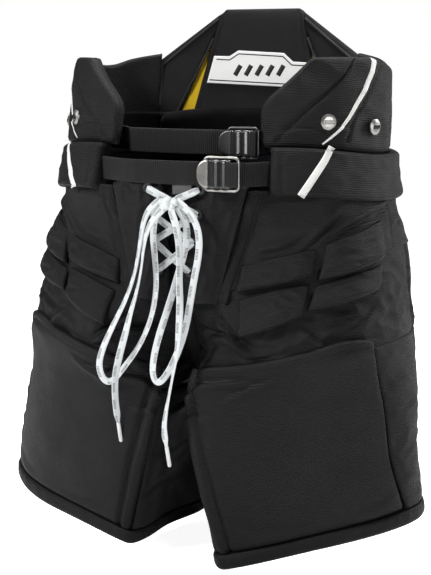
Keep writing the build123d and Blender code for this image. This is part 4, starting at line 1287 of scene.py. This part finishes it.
def buckles():
    """Two cam buckles: the outer one is bright, the inner one dark."""
    rounded_frame("outer_buckle_frame_wire", (43, 84), -143.0, (453, 490), 1.7, BRIGHT_METAL,
                  "outer_buckle_frame", "waist")  # fmt: skip
    lever("outer_lever", (46, 76), -144.0, (455.5, 487.5), 10, BRIGHT_METAL,
          "outer_strap_right", "outer_buckle_lever", "outer_lever")  # fmt: skip
    rounded_frame("inner_buckle_frame_wire", (54, 91), -103.0, (487, 521), 1.5, DARK_METAL,
                  "inner_buckle_frame", "waist")  # fmt: skip
    lever("inner_lever", (56, 86), -104.0, (489.5, 518.5), 11, DARK_METAL,
          "inner_straps", "inner_buckle_lever", "inner_lever")  # fmt: skip


# ---- fly, eyelets and lace -------------------------------------------------------------------
def on_fly(x, z):
    """The shallow front of the fly: flat near the eyelets, falling back towards its outer edges."""
    x, z = np.broadcast_arrays(np.asarray(x, float), np.asarray(z, float))
    y = -133.6 + 9.0 * (np.maximum(np.abs(x) - 34, 0) / 46) ** 2
    points = np.stack([x, y, z], -1)
    return points, np.zeros(points.shape) + [0, -1.0, 0]


def fly_panel(side):
    outer = [(float(body_form(u, z)[..., 0]) + 3, z) for u, z in FLY_INNER]
    bottom, top = [(7, 320), (outer[0][0] + 2, 322)], [(19, 468), (46, 466), (outer[2][0] - 4, 455)]
    panel = Panel(bottom, top, [(9, 390)], [outer[1]], step=2.0, surface=on_fly, u_unit=1)
    panel.roll(3, "lt").crumple(2.6, 20, seed_of(side, 80), stretch=(1.5, 1, 0.8), fade=9)
    panel.mark([(14, 340), (15, 460)], lambda d, s: -0.8 * hump(d, 1.3), 3)
    for x, z in EYELETS:
        near = np.hypot(panel.u - x, panel.z - z)
        panel.height = np.where(near < 8, np.minimum(panel.height, 0), panel.height)
        panel.height -= 1.2 * hump(near - 8.5, 2.5)
    sided("fly_panel", side, [panel.shell(7)], TRIM, ride_waist, 0.2)


def fly_gusset():
    bottom, top = [(-42, 342), (42, 342)], [(-46, 470), (46, 470)]
    panel = Panel(bottom, top, step=3.0, surface=on_fly, u_unit=1)
    panel.lift(-8.5).sag(1.5, 18, 82).crumple(1.5, 16, 83)
    riding("fly_gusset", [panel.shell(3)], LINING, ["fly_gusset"])


EYELETS = [(33, 452), (30, 424), (25, 391), (20, 357)]
LACE_WIDE = 8.0
LACE_THICK = 1.4
LACE_FRONT_Y = -135.2


LACE_SECTION = (-0.5, -0.44, -0.2, 0.2, 0.44, 0.5)  # shares across the lace


def flat_lace(line, face, aside, width, bulge=0.0):
    """A closed flat lace along a line, with thin edges and a face that may bulge."""
    run = lengths(line, 0)
    top, under, cloth = [], [], []
    for lateral in LACE_SECTION:
        row = line + aside * width[:, None] * lateral
        half = LACE_THICK / 2 * (0.4 if abs(lateral) == 0.5 else 1)
        top.append(row + face * (half + bulge * (0.25 - lateral**2)))
        under.append(row - face * half)
        across = np.full(len(run), LACE_WIDE * (lateral + 0.5))
        cloth.append(np.stack([run, across, np.full(len(run), 2.0)], -1))
    return slab(top, under, cloth)


def lace_between(start, end, y, bow=1.6):
    """A flat length of lace between eyelets, bowed forward in the middle and tucked in at its ends."""
    (x1, z1), (x2, z2) = start, end
    share = np.linspace(0, 1, 25)
    line = np.stack([x1 + (x2 - x1) * share, np.zeros(25), z1 + (z2 - z1) * share], -1)
    tuck = np.clip(1 - np.minimum(share, 1 - share) / 0.12, 0, 1) ** 2
    line[:, 1] = y - bow * np.sin(np.pi * share) + 2.2 * tuck
    front = np.array([0, -1.0, 0])
    aside = unit(np.cross(unit(np.gradient(line, axis=0)), front))
    return flat_lace(line, front, aside, LACE_WIDE * (1 - 0.35 * tuck), bulge=0.6)


def lacing():
    strips = []
    for (x1, z1), (x2, z2) in zip(EYELETS, EYELETS[1:]):
        strips.append(lace_between((-x1, z1), (x2, z2), LACE_FRONT_Y - 0.7))
        strips.append(lace_between((x1, z1), (-x2, z2), LACE_FRONT_Y - 2.2))
    x, z = EYELETS[0]
    for flip in (-1, 1):
        strips.append(lace_between((flip * x, z), (flip * 4, 440), LACE_FRONT_Y - 3.5))
    riding("lacing", strips, LACE, ["lacing"])


def lump(centre, radii, tilt, power=0.7, seed=0):
    """A soft wrapped lump of lace: a rounded block with creases."""
    a = np.linspace(-math.pi / 2, math.pi / 2, 17)[:, None]
    b = np.linspace(-math.pi, math.pi, 33)[None, :]

    def soft(value):
        return np.sign(value) * np.abs(value) ** power

    x = radii[0] * soft(np.cos(a)) * soft(np.cos(b))
    y = radii[1] * soft(np.cos(a)) * soft(np.sin(b))
    z = radii[2] * soft(np.sin(a)) * np.ones_like(b)
    crease = 1 + 0.06 * np.sin(3 * b + seed) * np.cos(a) - 0.05 * np.cos(5 * a + seed)
    turn = math.radians(tilt)
    px = x * math.cos(turn) - z * math.sin(turn)
    pz = x * math.sin(turn) + z * math.cos(turn)
    points = np.stack([px * crease, y * crease, pz * crease], -1) + np.array(centre)
    cloth = np.stack([*np.broadcast_arrays(radii[0] * b, radii[2] * a, 2.0)], -1)
    index = np.arange(17 * 33).reshape(17, 33)
    index[:, -1] = index[:, 0]
    index[0] = index[0, 0]
    index[-1] = index[-1, 0]
    faces = [tuple(dict.fromkeys(f)) for f in quads(index)]
    return points.reshape(-1, 3), [f for f in faces if len(f) > 2], cloth.reshape(-1, 3)


def knot():
    """The bow's knot: a band wrapped over the crossing, and the laces bunched to each side of it."""
    lumps = [
        lump((0, -148.5, 437.0), (5.2, 7.2, 7.6), 8, seed=1),
        lump((-6.4, -147, 437.8), (5.2, 5.2, 4.6), -20, seed=2),
        lump((6.4, -147, 437.8), (5.2, 5.2, 4.6), 20, seed=3),
        lump((-4.6, -149.5, 432.2), (3.6, 4.2, 4.6), 25, seed=4),
        lump((4.6, -149.5, 432.2), (3.6, 4.2, 4.6), -25, seed=5),
    ]
    riding("lace_knot", lumps, LACE, ["lace_knot"])


LOOP_RIGHT = [
    (-10, -147, 440.5), (-24, -149, 431), (-32, -150, 411), (-36, -151, 382), (-42, -152, 352),
    (-53, -153, 323), (-68, -155, 294), (-81, -156, 268), (-89, -156, 246), (-87, -155, 229),
    (-78.5, -154, 221), (-69, -153, 226), (-57, -152, 242), (-43, -151, 260), (-30, -150, 283),
    (-20, -149, 310), (-15.5, -148, 342), (-18, -147, 374), (-21, -146.5, 400), (-18, -147, 420),
    (-10, -147, 433),
]  # fmt: skip
LOOP_LEFT = [
    (10, -147, 440.5), (22, -149, 433), (33, -150, 421), (39.5, -150, 404), (39, -150, 380),
    (33, -150, 353), (28, -150, 325), (23, -150, 298), (14.5, -150, 271), (4, -150, 248),
    (-7, -149.5, 231), (-16, -149, 225), (-22, -148.5, 235), (-20.5, -148, 256), (-13, -147.5, 284),
    (-4, -147, 309), (5, -146.5, 336), (13, -146, 362), (20, -146, 385), (23, -146, 405),
    (19, -146.5, 422), (10, -147, 433),
]  # fmt: skip
TAIL_RIGHT = [
    (-5, -152, 430), (-14, -156, 421), (-22, -158, 407), (-27, -158, 386), (-30, -158, 361),
    (-36, -158.5, 334), (-44.5, -159, 308), (-51, -160, 283), (-58, -161, 259), (-65, -160, 233),
    (-69, -154, 208), (-70.5, -148, 187), (-69.5, -145, 169),
]  # fmt: skip
TAIL_LEFT = [
    (5, -152, 430), (11.5, -156, 419), (17, -158, 402), (19, -158, 377), (18, -158, 350),
    (19, -158, 323), (17.5, -158, 296), (14.5, -157, 269), (9, -156, 243), (3, -154, 217),
    (-3.5, -152, 191), (-6.5, -151, 168), (-3, -150, 149),
]  # fmt: skip
AGLET_LENGTH = 25.0
AGLET_R = 2.2


def smooth_route(points):
    """Points along a smooth NURBS curve held by the route's points, in millimetres."""
    data = bpy.data.curves.new("lace_route", "CURVE")
    data.dimensions = "3D"
    data.resolution_u = 12
    spline = data.splines.new("NURBS")
    spline.points.add(len(points) - 1)
    for control, point in zip(spline.points, points):
        control.co = (*point, 1)
    spline.order_u = 3
    spline.use_endpoint_u = True
    holder = bpy.data.objects.new("lace_route", data)
    bpy.context.scene.collection.objects.link(holder)
    bpy.context.view_layer.update()
    mesh = bpy.data.meshes.new_from_object(holder)
    line = np.array([v.co for v in mesh.vertices], float)
    bpy.data.objects.remove(holder)
    bpy.data.meshes.remove(mesh)
    run = lengths(line, 0)
    stops = np.linspace(0, run[-1], round(run[-1] / 1.5))
    return np.stack([np.interp(stops, run, line[:, i]) for i in range(3)], -1)


def ribbon(line, twist, tapered):
    """A flat lace along a line, its broad face turned to the front and twisted a little."""
    ahead = unit(np.gradient(line, axis=0))
    run = lengths(line, 0)
    front = np.array([0, -1.0, 0])
    face = unit(front - ahead * (ahead @ front)[:, None])
    aside = np.cross(ahead, face)
    angle = twist(run / run[-1])[:, None]
    cos, sin = np.cos(angle), np.sin(angle)
    width = LACE_WIDE * (1 - 0.5 * tapered * smooth((run - run[-1] + 14) / 12))
    return flat_lace(line, face * cos + aside * sin, aside * cos - face * sin, width)


def aglet(name, line):
    """The stiff clear tip on the last part of a tail."""
    end, before = line[-1], line[-12]
    ahead = unit(end - before)
    side = unit(np.cross(ahead, [0, 1.0, 0]))
    other = np.cross(ahead, side)
    rings = [(0, 0.0), (0, 1.9), (1.2, AGLET_R), (AGLET_LENGTH - 1.5, AGLET_R), (AGLET_LENGTH, 1.6)]
    rings.append((AGLET_LENGTH, 0.0))
    around = np.linspace(0, 2 * math.pi, 25)[:-1]
    points = [end + ahead * (h - 2) + (side * math.cos(a) * 1.15 + other * math.sin(a) * 0.8) * r
              for h, r in rings for a in around]  # fmt: skip
    faces = []
    for k in range(len(rings) - 1):
        faces += [(k * 24 + i, k * 24 + (i + 1) % 24, (k + 1) * 24 + (i + 1) % 24, (k + 1) * 24 + i)
                  for i in range(24)]  # fmt: skip
    piece = mesh_object(name, points, faces)
    return dress(piece, CLEAR_TIP, ["aglets"])


def hang_lace(name, route, twist, tip=None):
    """One free length of lace, and its tip on a tail. The wearer's right ones have their transform baked, the
    others ride on the waist.
    """
    line = smooth_route(route)
    piece = build(f"lace_{name}", [ribbon(line, twist, bool(tip))])
    dress(piece, LACE, [f"lace_{name}"])
    pieces = [piece]
    if tip:
        pieces.append(aglet(tip, line))
    for each in pieces:
        if name.endswith("right"):
            bend_hip(each, "right")
        else:
            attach(each, "waist")


def laces():
    hang_lace("loop_right", LOOP_RIGHT, lambda s: 0.5 * np.sin(2 * np.pi * s) + 0.25 * np.sin(9 * s))
    hang_lace("loop_left", LOOP_LEFT, lambda s: -0.5 * np.sin(2 * np.pi * s) + 0.25 * np.sin(8 * s))
    hang_lace("tail_right", TAIL_RIGHT, lambda s: 0.9 * np.sin(5.5 * s), tip="aglet_right")
    hang_lace("tail_left", TAIL_LEFT, lambda s: -0.9 * np.sin(6.5 * s), tip="aglet_left")


def size_label():
    """A small blank woven label above the knot."""
    panel = Panel([(0, 446), (24, 447)], [(0, 458), (24, 459)], step=1.5, surface=on_fly, u_unit=1)
    panel.lift(4.2).roll(0.5)
    panel.height += 0.8 * np.sin(panel.along / 7)
    riding("size_label", [panel.shell(0.8)], LABEL)


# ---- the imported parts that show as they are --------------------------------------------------
def soften(name, width, material, angle=30):
    """A CAD node with its own material and softened edges."""
    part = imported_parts[name]
    part.data.materials.clear()
    part.data.materials.append(material)
    bevel = part.modifiers.new("soft_edges", "BEVEL")
    bevel.width = width * MM
    bevel.segments = 3
    bevel.limit_method = "ANGLE"
    bevel.angle_limit = math.radians(angle)
    part.data.polygons.foreach_set("use_smooth", [True] * len(part.data.polygons))
    corners = part.modifiers.new("corner_normals", "WEIGHTED_NORMAL")
    corners.keep_sharp = True


BUTTONS = {"front": ((160.0, -67.0, 528.0), -52.0), "side": ((197.0, -18.0, 521.0), -22.0)}


def button_marks(side):
    """A small dark plate, plain, in the middle of each button's face."""
    for key, (foot, heading) in BUTTONS.items():
        turn = math.radians(heading)
        out = np.array([math.cos(turn), math.sin(turn), 0])
        across = np.array([-math.sin(turn), math.cos(turn), 0])
        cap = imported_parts[f"{key}_button_{side}"]
        corners = np.array([v.co for v in cap.data.vertices], float) / MM * [SIDES[side], 1, 1]
        centre = np.array(foot) + out * ((corners - foot) @ out).max()
        a, b = np.meshgrid((-5.2, -4.8, 4.8, 5.2), (-2.3, -2.0, 2.0, 2.3))
        grid = centre + a[..., None] * across + b[..., None] * [0, 0, 1]
        shell = slab(grid + out * 0.35, grid - out * 0.6, grid * 0)
        plate = build(f"{key}_button_plate_{side}", [shell], SIDES[side])
        dress(plate, BUCKLE_BLACK)
        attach(plate, f"{side}_{key}_cap")


def cad_parts():
    soften("eyelets", 0.3, DARK_METAL)
    for side in SIDES:
        button_marks(side)
        soften(f"front_button_{side}", 0.5, BRIGHT_METAL)
        soften(f"side_button_{side}", 0.5, BRIGHT_METAL)
        soften(f"button_posts_{side}", 0.3, DARK_METAL)
    soften("tailbone_plate", 0.5, PLATE)


for side_name in SIDES:
    for make_leg_piece in (thigh_guard, thigh_side, thigh_back, inner_leg, leg_lining, hem_band, groin_panel):
        make_leg_piece(side_name)
    for row_name in BLOCKS:
        quilts(side_name, row_name)
    for make_waist_piece in (hip_panel, belt_sleeve, kidney_wing, fly_panel):
        make_waist_piece(side_name)
for make_piece in (seat_panel, hip_lining, crotch_gusset, waistband, spine, straps, buckles, fly_gusset):
    make_piece()
for make_piece in (lacing, knot, laces, size_label, cad_parts):
    make_piece()


# ---- studio ----------------------------------------------------------------------------------
FLOOR_REACH = 8.0  # metres each way
FLOOR_GLOW = 0.92  # seen by the camera alone, so that the ground is white
WORLD_LIGHT = 0.08  # how strongly the surround lights the part


def area_light(name, place, target, size, power):
    data = bpy.data.lights.new(name, "AREA")
    data.shape = "RECTANGLE"
    data.size, data.size_y = size
    data.energy = power
    lamp = bpy.data.objects.new(name, data)
    lamp.location = place
    lamp.rotation_euler = (Vector(target) - Vector(place)).to_track_quat("-Z", "Y").to_euler()
    bpy.context.scene.collection.objects.link(lamp)


def studio():
    """A white floor, soft boxes each side and above, and a white surround."""
    material, tree, shader = new_material("studio_white", 0.9)
    shader.inputs["Base Color"].default_value = (0.9, 0.9, 0.9, 1)
    shader.inputs["Emission Color"].default_value = (1, 1, 1, 1)
    seen = node(tree, "ShaderNodeLightPath").outputs["Is Camera Ray"]
    tree.links.new(maths(tree, "MULTIPLY", seen, FLOOR_GLOW), shader.inputs["Emission Strength"])
    reach = FLOOR_REACH / MM
    points = [(-reach, -reach, -1.5), (reach, -reach, -1.5), (reach, reach, -1.5), (-reach, reach, -1.5)]
    floor = mesh_object("studio_floor", points, [(0, 1, 2, 3)])
    floor.data.materials.append(material)
    target = (0, 0, 0.33)
    area_light("key", (-1.4, -1.6, 1.7), target, (0.7, 0.7), 60)
    area_light("fill", (1.9, -1.3, 0.9), target, (0.5, 1.2), 20)
    area_light("top", (0.1, 0.3, 2.2), target, (1.1, 0.8), 50)
    area_light("rim", (1.5, 1.4, 1.1), target, (0.5, 1.3), 26)
    world = bpy.data.worlds.new("studio_world")
    world.use_nodes = True
    tree = world.node_tree
    ground = tree.nodes["Background"]
    ground.inputs["Color"].default_value = (1, 1, 1, 1)
    seen = node(tree, "ShaderNodeLightPath").outputs["Is Camera Ray"]
    strength = maths(tree, "MULTIPLY_ADD", seen, 1 - WORLD_LIGHT, WORLD_LIGHT)
    tree.links.new(strength, ground.inputs["Strength"])
    bpy.context.scene.world = world
    bpy.context.scene.view_settings.view_transform = "Standard"


studio()
